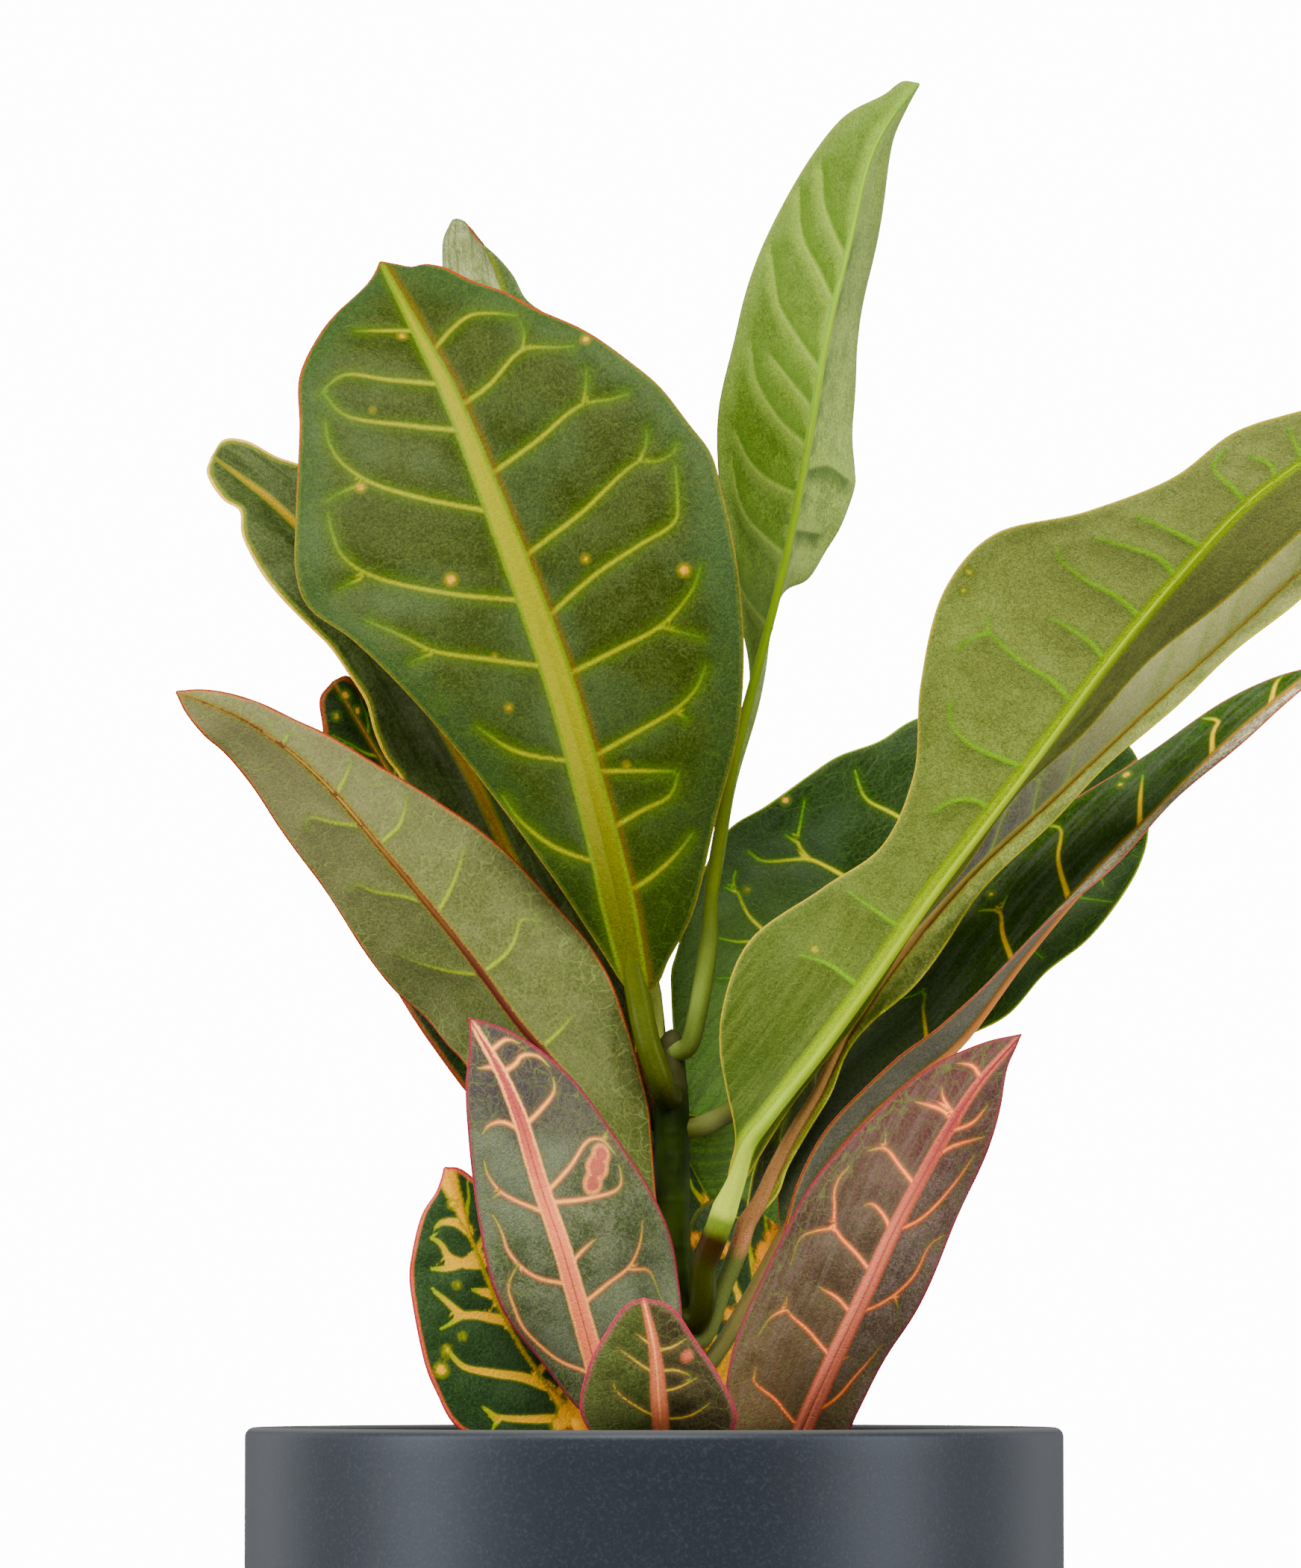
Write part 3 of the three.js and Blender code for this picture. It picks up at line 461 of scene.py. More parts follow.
               [35.5, 68.5, -6.5], [39.5, 73.5, -7.5], [48, 81, -10], [60, 97.5, -15],
               [72.5, 110.5, -20], [90, 127, -28], [106, 141.5, -36], [119, 152, -41], [127, 160, -44]],
    ),
    dict(
        name="leaf_right_folded", bearing=16, height=10, petiole=1.6, belly=0,
        rib=[[23.5, 34, 2], [28.5, 44, 1], [37.5, 55, 0], [48, 64.5, 0], [55.5, 70.5, 0], [67.5, 86, 1],
             [79.5, 100, 2], [91.5, 112, 3], [107.5, 127.5, 3], [123, 140, 2]],
        left=[[23, 46, 5], [28.5, 60.5, 8], [37, 73.5, 10], [47, 88.5, 12], [61, 103, 12],
              [72.5, 111.5, 12], [89.5, 123, 11], [105.5, 133.5, 8], [115, 138, 5]],
        right=[[26, 43.5, -3], [32, 55.5, -6], [44.5, 67, -8], [51, 72, -9], [58, 79, -9],
               [72, 91.5, -9], [85.5, 104.5, -7], [99.5, 118, -4], [113, 130, -1], [122, 138, 1]],
    ),
    dict(
        name="leaf_right_behind", bearing=8, height=55, petiole=1.9, belly=-1,
        rib=[[13.5, 57.5, 6], [21.5, 64.5, 14], [35, 76, 22], [51.5, 90.5, 28], [67.5, 105, 32],
             [79, 114, 33], [89, 122.5, 32]],
        left=[[9.5, 57, 7.5], [5.5, 57.6, 9.5], [4.5, 64.5, 11.5], [3.5, 71.5, 13], [3, 79, 16],
              [3, 83.5, 18], [4, 87, 20], [5.5, 92, 22], [8, 99.5, 25], [13.5, 109.5, 27],
              [20.5, 114, 28], [27.5, 119, 29], [33.5, 123, 30], [41.5, 126, 32], [48, 130, 33],
              [63.5, 133, 35], [79, 131, 34], [87.5, 125, 32]],
        right=[[10, 55.8, 7.5], [6.2, 54.5, 9.5], [5.6, 50.5, 12], [7.2, 46.5, 14], [11, 40.5, 16],
               [15.5, 37, 18], [23, 37, 19], [30, 44.5, 20], [29.5, 46.5, 20], [44.5, 59.5, 22],
               [54.5, 70, 24], [65, 75.5, 25], [72, 83, 26], [79.5, 89, 27], [85.5, 96.5, 29],
               [89.5, 103.5, 30], [91, 109.5, 31], [90, 119.5, 32]],
    ),
    dict(
        name="leaf_back_top", bearing=95, height=54, petiole=1.4, belly=-2,
        rib=[[0, 79.5, 25], [-4, 107, 42], [-8.5, 134.5, 60], [-13.5, 158, 76], [-17.5, 174.5, 86]],
        left=[[-11, 105.5, 43], [-19.5, 130.5, 62], [-22, 152.5, 78]],
        right=[[3, 107, 43], [2.5, 134.5, 63], [-3.5, 158, 79]],
    ),
    dict(
        name="leaf_back_right", bearing=75, height=42, petiole=1.4, belly=-2,
        via=[[4.8, 47.5, 13], [7.2, 56, 20]],
        rib=[[11.5, 64.5, 22], [22.5, 78, 36], [36, 94.5, 56], [48.5, 109.5, 74], [58, 120.5, 86]],
        left=[[11.5, 81, 38], [22.5, 98.5, 58], [37.5, 114, 76]],
        right=[[32, 74, 38], [48.5, 90.5, 58], [58, 107, 75]],
    ),
    dict(
        name="leaf_back_left", bearing=130, height=33, petiole=1.4, belly=-2,
        rib=[[-5.5, 56, 22], [-14.5, 70, 38], [-25.5, 85, 58], [-36.5, 98.5, 76], [-45.5, 108.5, 88]],
        left=[[-21, 64.5, 39], [-34, 78, 60], [-42.5, 93, 78]],
        right=[[-7.5, 74, 39], [-17.5, 92, 60], [-29.5, 104, 78]],
    ),
    dict(
        name="leaf_back_low_right", bearing=85, height=4, petiole=1.4, belly=-2,
        rib=[[15, 8.5, 22], [11.5, 19, 30], [10, 30, 38], [10, 41, 46], [11.5, 51.5, 54]],
        left=[[7.5, 16.5, 30], [4, 29, 38], [3, 40.5, 46], [6.5, 49.5, 52]],
        right=[[17.5, 18.5, 32], [18.5, 30, 40], [17.5, 41, 48], [15.5, 48.5, 52]],
    ),
    dict(
        name="leaf_back_low_left", bearing=145, height=8, petiole=1.4, belly=-2,
        rib=[[-2.5, 8.5, 22], [-7, 19, 38], [-12.5, 31.5, 58], [-18, 44, 76], [-23.5, 55, 88]],
        left=[[-15.5, 16.5, 40], [-23.5, 31.5, 60], [-27, 45, 78]],
        right=[[0.5, 22, 40], [-3.5, 37, 60], [-12, 49.5, 78]],
    ),
]
print("leaves:", len(LEAVES))

# %% [markdown]
# ## The veins that can be seen
# The big veins differ from leaf to leaf, so they are drawn where the photograph shows them, each
# from the midrib outwards, right and up as seen. The picks were turned into millimetres as the outlines'
# were. Leaves that aren't listed get veins by a rule.

# %% Drawn veins
VEINS = {
    "leaf_top_front": dict(
        left=[[(-45, 201.5), (-51, 201.5), (-55, 201.5)],
              [(-41, 191), (-49, 192.5), (-57, 193.5), (-59.5, 192), (-61.5, 190)],
              [(-37.5, 182.5), (-45, 184), (-57, 186), (-61, 190)],
              [(-30.5, 167.5), (-42.5, 170.5), (-52.5, 173.5), (-58, 177.5), (-60, 181.5), (-60.5, 185)],
              [(-54.5, 173), (-59, 171), (-60, 170)],
              [(-25, 151), (-37.5, 153), (-52.5, 156.5), (-57.5, 160), (-59.5, 164.5), (-60, 167.5)],
              [(-54, 156), (-58, 154)],
              [(-21.5, 138), (-30.5, 141), (-41, 142.5), (-46, 145), (-52.5, 148)],
              [(-41, 142), (-44.5, 140.5)], [(-16.5, 120.5), (-25.5, 124), (-32.5, 128.5)],
              [(-11.5, 101.5), (-18.5, 106.5), (-25, 111.5), (-28, 116)]],
        right=[[(-42, 196.5), (-37.5, 201.5), (-34, 204.5), (-30, 205), (-25.5, 204.5)],
               [(-36, 187.5), (-30.5, 191.5), (-24, 198), (-18.5, 198.5), (-15, 198.5)],
               [(-24, 198), (-24, 201.5), (-24.5, 203)],
               [(-30, 175), (-22, 181), (-13.5, 188), (-8, 189), (-5, 190)],
               [(-13, 188.5), (-12.5, 191.5), (-12.5, 194)],
               [(-24, 159.5), (-13.5, 168), (-3, 177.5), (0.5, 177.5), (3.5, 179), (4, 180.5)],
               [(-3, 177.5), (-1.5, 180.5), (-1.5, 183)],
               [(-20, 148), (-10.5, 157), (-3, 162), (4, 166.5), (4.5, 171), (4, 176.5)],
               [(-16, 137.5), (-7.5, 142.5), (1.5, 147.5), (7, 154), (8.5, 158)],
               [(1.5, 147), (5, 146), (8.5, 145)],
               [(-12, 122.5), (-4.5, 127), (4.5, 132), (8, 136), (9.5, 139.5)], [(4.5, 131), (6, 130)],
               [(-11, 120.5), (-4.5, 120.5), (4, 120.5)],
               [(-8.5, 108.5), (-2.5, 113), (3, 116), (4.5, 120)],
               [(-5, 97), (-1, 100.5), (3.5, 104.5), (7, 109)]],
    ),
    "leaf_top_upright": dict(
        left=[[(35, 215.5), (33.5, 219), (31.5, 225), (31, 231)],
              [(33, 207), (30.5, 213), (28, 217.5), (27, 221.5), (27, 226.5)],
              [(30.5, 194), (26.5, 200.5), (23, 206.5), (22.5, 210), (22, 215.5)],
              [(27.5, 180), (23.5, 185), (20.5, 189.5), (19, 193), (18, 198)],
              [(29, 186.5), (22, 196.5)], [(25.5, 171.5), (20.5, 174.5), (17.5, 178), (16, 182)],
              [(24, 160.5), (20, 164), (17, 167.5), (15.5, 171.5), (15, 176)],
              [(21.5, 147), (18.5, 150.5), (16, 155), (15, 158.5)]],
        right=[[(26.5, 165), (30, 164.5)], [(28, 176), (32, 177), (35.5, 174.5)]],
    ),
    "leaf_left_front": dict(
        left=[[(-33, 82.5), (-37, 83.5), (-44, 85.5), (-47, 87)],
              [(-42, 96.5), (-46.5, 97.5), (-51.5, 98.5), (-54.5, 99.5), (-56, 98.5)],
              [(-54.5, 109.5), (-59, 111), (-63.5, 112), (-64, 110)]],
        right=[[(-30.5, 84), (-27, 87), (-25.5, 90), (-24.5, 93), (-21, 93)],
               [(-39, 95), (-37.5, 98.5), (-36, 102.5), (-35, 106)],
               [(-49.5, 108), (-47, 110.5), (-46, 113), (-45.5, 115.5)],
               [(-58, 116.5), (-57, 119), (-56, 122)], [(-20, 70), (-17.5, 72.5), (-15, 75.5)],
               [(-68.5, 125), (-67.5, 127.5)]],
    ),
    "leaf_low_left_front": dict(
        left=[[(-28, 65), (-29.5, 66), (-32, 65.5)], [(-24, 54.5), (-28, 56), (-30.5, 55), (-31, 54)],
              [(-19.5, 38.5), (-22, 40), (-28, 43), (-30.5, 46.5), (-31, 48.5)],
              [(-28, 43), (-29.5, 42)],
              [(-15.5, 26), (-21.5, 27.5), (-25, 30), (-27, 33), (-28, 35.5), (-29.5, 38.5)],
              [(-10.5, 9), (-13, 10.5), (-18, 12.5), (-23.5, 18), (-25.5, 22), (-26.5, 26), (-25, 29.5)]],
        right=[[(-27.5, 65), (-25.5, 66.5), (-24.5, 68), (-21.5, 68), (-19.5, 66)],
               [(-29.5, 69), (-27, 71), (-25, 70)],
               [(-24, 55), (-21, 58), (-18.5, 61.5), (-18.5, 63.5)],
               [(-19, 43), (-15.5, 47.5), (-12, 52.5), (-9.5, 52.5), (-7.5, 50)],
               [(-9.5, 52.5), (-8.5, 54)], [(-18.5, 41.5), (-12, 42), (-6.5, 44), (-6.5, 47.5)],
               [(-12.5, 22.5), (-9, 26), (-4.5, 29.5), (-3, 33), (-2.5, 35), (-2.5, 37.5)],
               [(-4.5, 29), (-1, 28.5), (1, 24), (2, 22.5)], [(-15.5, 29), (-14, 31.5), (-11, 34.5)]],
    ),
    "leaf_low_front": dict(
        left=[[(0.5, 2), (-3.5, 4), (-6.5, 6.5), (-7.5, 8.5)], [(0, 10), (-3, 12), (-6, 14.5)],
              [(-0.5, 14.5), (-3, 17)]],
        right=[[(0.5, 14), (3, 14.6), (5.6, 16)], [(1, 10.4), (3.6, 10.6), (6.4, 9.6)],
               [(1, 6.5), (4, 7.2), (7.6, 9)], [(2, 2), (6, 2.2), (10, 4.4)]],
    ),
    "leaf_low_right_front": dict(
        left=[[(59.5, 64.5), (58.5, 66), (56, 66.5)], [(54.5, 56), (53, 58), (50, 59), (48, 59.5)],
              [(53, 58.5), (53, 60.5), (53, 62)], [(48, 44), (45, 48), (42.5, 51), (39.5, 50.5)],
              [(42.5, 51), (42.5, 53.5)], [(44, 35.5), (42.5, 38.5), (40, 41), (39, 40.5)],
              [(40, 28.5), (37.5, 31.5), (33.5, 36.5), (33.5, 40.5), (33.5, 43), (34.5, 46), (36, 47.5)],
              [(33.5, 36.5), (30, 36), (27, 34.5), (25, 30)], [(36, 21), (34, 23.5), (30.5, 25.5)],
              [(32.5, 12.5), (28.5, 17.5), (24.5, 21.5), (24.5, 24)],
              [(24.5, 21.5), (21.5, 20), (19.5, 17)], [(25, 1), (22.5, 5), (18.5, 8.5), (19, 11)]],
        right=[[(51, 49.5), (54.5, 51.5), (58, 52.5), (60, 53)],
               [(44.5, 35.5), (48.5, 38), (52.5, 41.5), (56, 46), (58.5, 50)],
               [(37, 20.5), (41, 22.5), (44, 24.5), (47.5, 28), (50.5, 33.5), (53, 35)],
               [(44, 24), (44.5, 22)], [(28.5, 2), (33.5, 5.5), (36.5, 9), (40, 13), (41.5, 15)],
               [(33.5, 11.5), (35.5, 13)], [(55, 53.5), (58.5, 56), (61, 59)]],
    ),
    "leaf_low_left": dict(
        left=[[(-33.5, 36.5), (-36, 37.5), (-39, 37.5), (-40, 36.5)],
              [(-31.5, 30), (-35, 30), (-38, 31.5), (-39, 33.5), (-40.5, 34.5)],
              [(-35, 30), (-38, 29), (-40.5, 29)],
              [(-29, 19), (-32.5, 20.5), (-35, 20.5), (-38, 23), (-40.5, 25)],
              [(-35, 20.5), (-38, 18.5), (-39, 18)], [(-31, 24), (-33, 25)],
              [(-18, 8.5), (-24, 9), (-29.5, 10), (-35, 11), (-37, 13), (-38, 14.5)],
              [(-14.5, 1.5), (-18.5, 1.5), (-24, 1.5), (-29, 2), (-31, 3.5)],
              [(-28.5, 1.5), (-29.5, 0)]],
        right=[],
    ),
    "leaf_right_front": dict(
        left=[[(37.5, 81), (32, 85), (27, 86.5)], [(46, 91.5), (41, 94.5), (36, 98)],
              [(62, 112.5), (59.5, 115), (55.5, 115), (51.5, 113)],
              [(68.5, 121), (63.5, 123), (58, 125.5), (55, 129), (54.5, 133)],
              [(77, 133), (73.5, 137), (68, 140.5), (61.5, 146)], [(61.5, 146), (57, 144), (56, 143)],
              [(61.5, 146), (61.5, 149)], [(83.5, 140.5), (81, 143.5), (77.5, 146), (73.5, 148.5)],
              [(90, 148.5), (85.5, 152.5), (79, 156), (74.5, 160), (74.5, 161.5)],
              [(96, 156), (93.5, 159.5), (88.5, 161.5), (81.5, 163.5)],
              [(101, 161.5), (98, 163.5), (94, 165.5), (89, 167.5)],
              [(110, 169.5), (106.5, 173), (103, 176.5), (105, 179.5)],
              [(114.5, 174), (113.5, 177), (110, 178.5)], [(118, 179.5), (117, 183.5)]],
        right=[],
    ),
    "leaf_right_folded": dict(
        left=[[(50, 71.5), (49.5, 77), (50, 80), (48, 79), (45.5, 78.5)],
              [(64.5, 85.5), (64, 90.5), (63.5, 94.5), (60, 94.5)], [(63.5, 94.5), (65, 97.5)],
              [(75, 97.5), (74.5, 104), (75, 109.5), (72.5, 110)],
              [(89, 110.5), (89.5, 115), (90, 119.5)],
              [(102, 123.5), (103, 127.5), (104, 129.5), (101.5, 130)],
              [(113.5, 133), (114.5, 136.5), (116, 138)]],
        right=[],
    ),
    "leaf_right_behind": dict(
        left=[[(35, 76), (28, 82.5), (21, 90.5), (17.5, 94), (15.5, 98), (14.5, 100), (15, 102)],
              [(15.5, 98), (13, 99)],
              [(51.5, 90.5), (43, 95.5), (35.5, 100.5), (32, 102.5), (28.5, 104), (19.5, 104),
               (17.5, 105.5)],
              [(28.5, 104), (26.5, 107), (27, 111), (27.5, 115)], [(26.5, 107), (24, 108.5)],
              [(62, 100), (52.5, 107), (44, 112.5), (39, 115), (37.5, 118), (37, 120)],
              [(25, 67.5), (19, 88.5), (15, 89), (12, 89.5)], [(18.5, 79.5), (15, 82), (11.5, 82)]],
        right=[],
    ),
}

# %% [markdown]
# ## From outline to blade
# The curves are smoothed, cut into equal lengths, and joined by straight lines from the midrib to each
# margin. That gives a sheet of points with one row for each step along the midrib. The half-blades then
# belly a little to the front, as the solids do.

# %% Smooth lines
POT_HEIGHT = 140.0
EYE_ABOVE_LIP = 14.0
EYE_AWAY = 1800.0
CURVE_STEPS = 40


def seen(points):
    """Points as seen, put in space: what is further behind the axis is spread out from the eye's line."""
    points = np.asarray(points, float)
    spread = (EYE_AWAY + points[:, 2]) / EYE_AWAY
    up = POT_HEIGHT + EYE_ABOVE_LIP + (points[:, 1] - EYE_ABOVE_LIP) * spread
    return np.stack([points[:, 0] * spread, points[:, 2], up], axis=1)


def as_seen(points):
    """The other way round: right and up, as seen, of points in space."""
    spread = (EYE_AWAY + points[..., 1]) / EYE_AWAY
    up = EYE_ABOVE_LIP + (points[..., 2] - POT_HEIGHT - EYE_ABOVE_LIP) / spread
    return np.stack([points[..., 0] / spread, up], axis=-1)


def smooth_line(points, count):
    """A centripetal Catmull-Rom curve through the points, cut into count equal lengths.

    Each stretch is a cubic whose end slopes weigh the neighbouring points by the roots of their distances.
    """
    p = np.asarray(points, float)
    p = np.vstack([2 * p[0] - p[1], p, 2 * p[-1] - p[-2]])
    a, b, c, d = p[:-3], p[1:-2], p[2:-1], p[3:]
    steps = (b - a, c - b, d - c)
    ka, kb, kc = (np.linalg.norm(step, axis=1, keepdims=True) ** 0.5 for step in steps)
    leave = ((b - a) / ka - (c - a) / (ka + kb) + (c - b) / kb) * kb
    arrive = ((c - b) / kb - (d - b) / (kb + kc) + (d - c) / kc) * kb
    u = np.linspace(0, 1, CURVE_STEPS, endpoint=False)[None, :, None]
    b, c, leave, arrive = b[:, None], c[:, None], leave[:, None], arrive[:, None]
    line = (2 * u**3 - 3 * u**2 + 1) * b + (u**3 - 2 * u**2 + u) * leave
    line = line + (3 * u**2 - 2 * u**3) * c + (u**3 - u**2) * arrive
    line = np.vstack([line.reshape(-1, p.shape[1]), p[-2]])
    length = np.concatenate([[0], np.cumsum(np.linalg.norm(np.diff(line, axis=0), axis=1))])
    even = np.linspace(0, length[-1], count + 1)
    return np.stack([np.interp(even, length, line[:, i]) for i in range(p.shape[1])], axis=1)


def unit(vectors):
    """The vectors, each made one long."""
    return vectors / np.maximum(np.linalg.norm(vectors, axis=-1, keepdims=True), 1e-9)


def length_of(line):
    """The length of a line of points."""
    return float(np.linalg.norm(np.diff(line, axis=0), axis=1).sum())


# %% Sheets
CELL = 0.75  # millimetres
ROUGH_CUTS = 60  # enough to measure a midrib
BASE_HALF_WIDTH = 1.2
TIP_HALF_WIDTH = 0.25


def leaf_sheet(leaf):
    """The middle surface of a blade: rows of points from the left margin over the midrib to the right.

    Each column has a share s: -1 at the left margin, 0 at the midrib and 1 at the right margin. Columns
    stand closer at the midrib and the margins, where the shape turns most.
    """
    rib_line = seen(leaf["rib"])
    rows = int(length_of(smooth_line(rib_line, ROUGH_CUTS)) / CELL)
    rib = smooth_line(rib_line, rows)
    along = np.linspace(0, 1, rows + 1)
    margins = []
    for side in ("left", "right"):
        margin = smooth_line(np.vstack([rib_line[:1], seen(leaf[side]), rib_line[-1:]]), rows)
        steady = np.clip(np.arange(rows + 1), int(rows * 0.05), int(rows * 0.97))
        out = unit((margin - rib)[steady])
        ends = BASE_HALF_WIDTH * np.exp(-along / 0.02) + TIP_HALF_WIDTH * np.exp((along - 1) / 0.01)
        margins.append(margin + out * ends[:, None])
    reach = np.stack([np.linalg.norm(margin - rib, axis=1) for margin in margins])
    half = int(reach.max() / CELL)
    u = np.linspace(0, 1, half + 1)
    across = u - 0.08 * np.sin(2 * math.pi * u)
    s = np.concatenate([-across[:0:-1], across])
    share = np.abs(s)[None, :, None]
    side = np.where(s[None, :, None] < 0, margins[0][:, None], margins[1][:, None])
    sheet = rib[:, None] * (1 - share) + side * share
    belly = leaf["belly"] * np.sin(math.pi * along)[:, None] * 4 * np.abs(s) * (1 - np.abs(s))
    sheet[..., 1] -= belly
    reach = np.where(s[None, :] < 0, reach[0][:, None], reach[1][:, None])
    return {"sheet": sheet, "s": s, "along": along, "rib": rib, "reach": reach, "length": length_of(rib)}


def sheet_normals(sheet):
    """One unit normal for each point of a sheet, to the front: across the sheet by along it."""
    return unit(np.cross(np.gradient(sheet, axis=1), np.gradient(sheet, axis=0)))


big_leaf = leaf_sheet(LEAVES[0])
print("the big leaf's sheet:", big_leaf["sheet"].shape, "length", round(big_leaf["length"], 1), "mm")

# %% [markdown]
# ## Veins
# A croton's side veins leave the midrib at a wide angle, run nearly straight, fork near the margin and die
# out in it. Each vein becomes a line on the blade. Each point of the blade then learns how far it is from
# the nearest vein. Painting by that distance gives lines that stay sharp however coarse the mesh is, which
# a picture would not.

# %% Drawing the veins
VEIN_POINTS = 12
SHORTEST_VEIN = 2.0
ROOT_REACH = 4.0  # a drawn vein that starts this close to the midrib starts on it
DRAWN_STEP = 1.2
FORK_GIRTH = 0.62  # how thick a drawn fork starts, beside a vein that starts on the midrib
FORK_CHANCE = 0.7
SETTLING_ROUNDS = 12  # a vein's end is sought this often, because the margin's distance depends on it
NEIGHBOURS = 4


def nearest_on_sheet(blade, points, columns):
    """Points as seen, put on the blade: the mean of the nearest sheet points, near ones counting more."""
    part = blade["sheet"][:, columns].reshape(-1, 3)
    gap = np.linalg.norm(as_seen(part)[None] - np.asarray(points, float)[:, None], axis=2)
    best = np.argpartition(gap, NEIGHBOURS, axis=1)[:, :NEIGHBOURS]
    weight = 1 / (np.take_along_axis(gap, best, axis=1) + 0.02)
    return (part[best] * weight[..., None]).sum(axis=1) / weight.sum(axis=1, keepdims=True)


def drawn_veins(blade, lines, side, girth):
    """Veins drawn as seen, laid on one half-blade. A vein thins to its end, and a fork starts thinner."""
    columns = blade["s"] <= 0 if side == "left" else blade["s"] >= 0
    made = []
    for line in lines:
        points = nearest_on_sheet(blade, line, columns)
        from_rib = np.linalg.norm(blade["rib"] - points[0], axis=1)
        rooted = from_rib.min() < ROOT_REACH
        if rooted:
            points[0] = blade["rib"][from_rib.argmin()]
        smooth = smooth_line(points, max(4, int(length_of(points) / DRAWN_STEP)))
        start = girth if rooted else girth * FORK_GIRTH
        made.append((smooth, start * np.linspace(1, 0.3, len(smooth)) ** 0.8))
    return made


def on_sheet(blade, across, along):
    """Points of the blade at distances from and along the midrib, on the side of the sign of across."""
    rows, columns = blade["sheet"].shape[:2]
    row = np.clip(along / blade["length"] * (rows - 1), 0, rows - 1).round().astype(int)
    edge = np.where(across < 0, blade["reach"][row, 0], blade["reach"][row, -1])
    share = np.clip(across / np.maximum(edge, 0.1), -1, 1)
    column = np.interp(share, blade["s"], np.arange(columns)).round().astype(int)
    return blade["sheet"][row, column]


def ruled_veins(blade, side, plan, draw):
    """Veins by a rule. Feet are spaced evenly but for a small draw. Each vein heads for the margin at the
    plan's angle, bends towards the tip near it, and many fork two thirds of the way out.
    """
    length, count = blade["length"], plan["veins"]
    edge = blade["reach"][:, 0 if side < 0 else -1]
    reach = lambda b: float(np.interp(b, blade["along"] * length, edge))
    share = (np.arange(count) + 0.6 + draw.uniform(-0.28, 0.28, count)) / (count + 0.35)
    angles = np.radians(np.interp(share, [0, 1], plan["angles"]) + draw.uniform(-7, 7, count))
    made = []
    u = np.linspace(0, 1, VEIN_POINTS)
    for part, angle in zip(share, angles):
        foot = length * (0.02 + 0.93 * part)
        end = foot
        for _ in range(SETTLING_ROUNDS):
            out = draw.uniform(0.8, 0.93) * reach(min(end, length))
            end = 0.5 * end + 0.5 * (foot + out / math.tan(angle))
        rise = end - foot
        hook = draw.uniform(0.15, 0.5) * length / count
        across = out * (u - 0.12 * u**4) * side
        along = np.minimum(foot + rise * u + hook * u**4, length * 0.995)
        foot_girth = plan["girth"] * (1 - 0.4 * part) * draw.uniform(0.7, 1.1)
        girth = foot_girth * np.linspace(1, 0.25, VEIN_POINTS)
        made.append((on_sheet(blade, across, along), girth))
        if draw.uniform() < FORK_CHANCE:
            fork = int(VEIN_POINTS * draw.uniform(0.5, 0.75))
            turn = draw.choice([-1, 1]) * draw.uniform(0.25, 0.45) * length / count
            twig_across = across[fork] + (0.94 * reach(along[fork]) * side - across[fork]) * u * 0.9
            twig_along = np.clip(along[fork] + turn * u**0.8, 0, length * 0.995)
            twig_girth = girth[fork] * np.linspace(0.8, 0.3, VEIN_POINTS)
            made.append((on_sheet(blade, twig_across, twig_along), twig_girth))
    finer = np.linspace(0, 1, 2 * VEIN_POINTS + 1)
    return [(smooth_line(line[::3], 2 * VEIN_POINTS), np.interp(finer, u, girth))
            for line, girth in made if length_of(line) > SHORTEST_VEIN]


CHUNK = 3000


def distance_field(points, normals, lines):
    """For each point: its signed and plain distance to the nearest line, and that line's half-width.

    The foot of the perpendicular is clamped to each straight piece, and the nearest piece wins. The sign
    is the side of that piece on which the point lies, seen down the blade's normal.
    """
    start = np.vstack([line[:-1] for line, _ in lines])
    run = np.vstack([line[1:] for line, _ in lines]) - start
    girth_a = np.concatenate([girth[:-1] for _, girth in lines])
    girth_b = np.concatenate([girth[1:] for _, girth in lines])
    size = np.maximum((run**2).sum(axis=1), 1e-9)
    signed, plain, girth = (np.empty(len(points)) for _ in range(3))
    for first in range(0, len(points), CHUNK):
        some = slice(first, first + CHUNK)
        away = points[some][:, None, :] - start[None]
        u = np.clip(np.einsum("ijk,jk->ij", away, run) / size, 0, 1)
        gap = away - u[..., None] * run
        distance = np.sqrt(np.einsum("ijk,ijk->ij", gap, gap))
        best = distance.argmin(axis=1)
        row = np.arange(len(best))
        side = np.einsum("ij,ij->i", np.cross(run[best], gap[row, best]), normals[some])
        plain[some] = distance[row, best]
        signed[some] = distance[row, best] * np.where(side < 0, -1, 1)
        girth[some] = girth_a[best] * (1 - u[row, best]) + girth_b[best] * u[row, best]
    return signed, plain, girth


PLAN = {"veins": 11, "angles": (62, 48), "girth": 0.6}
FAR = 20.0


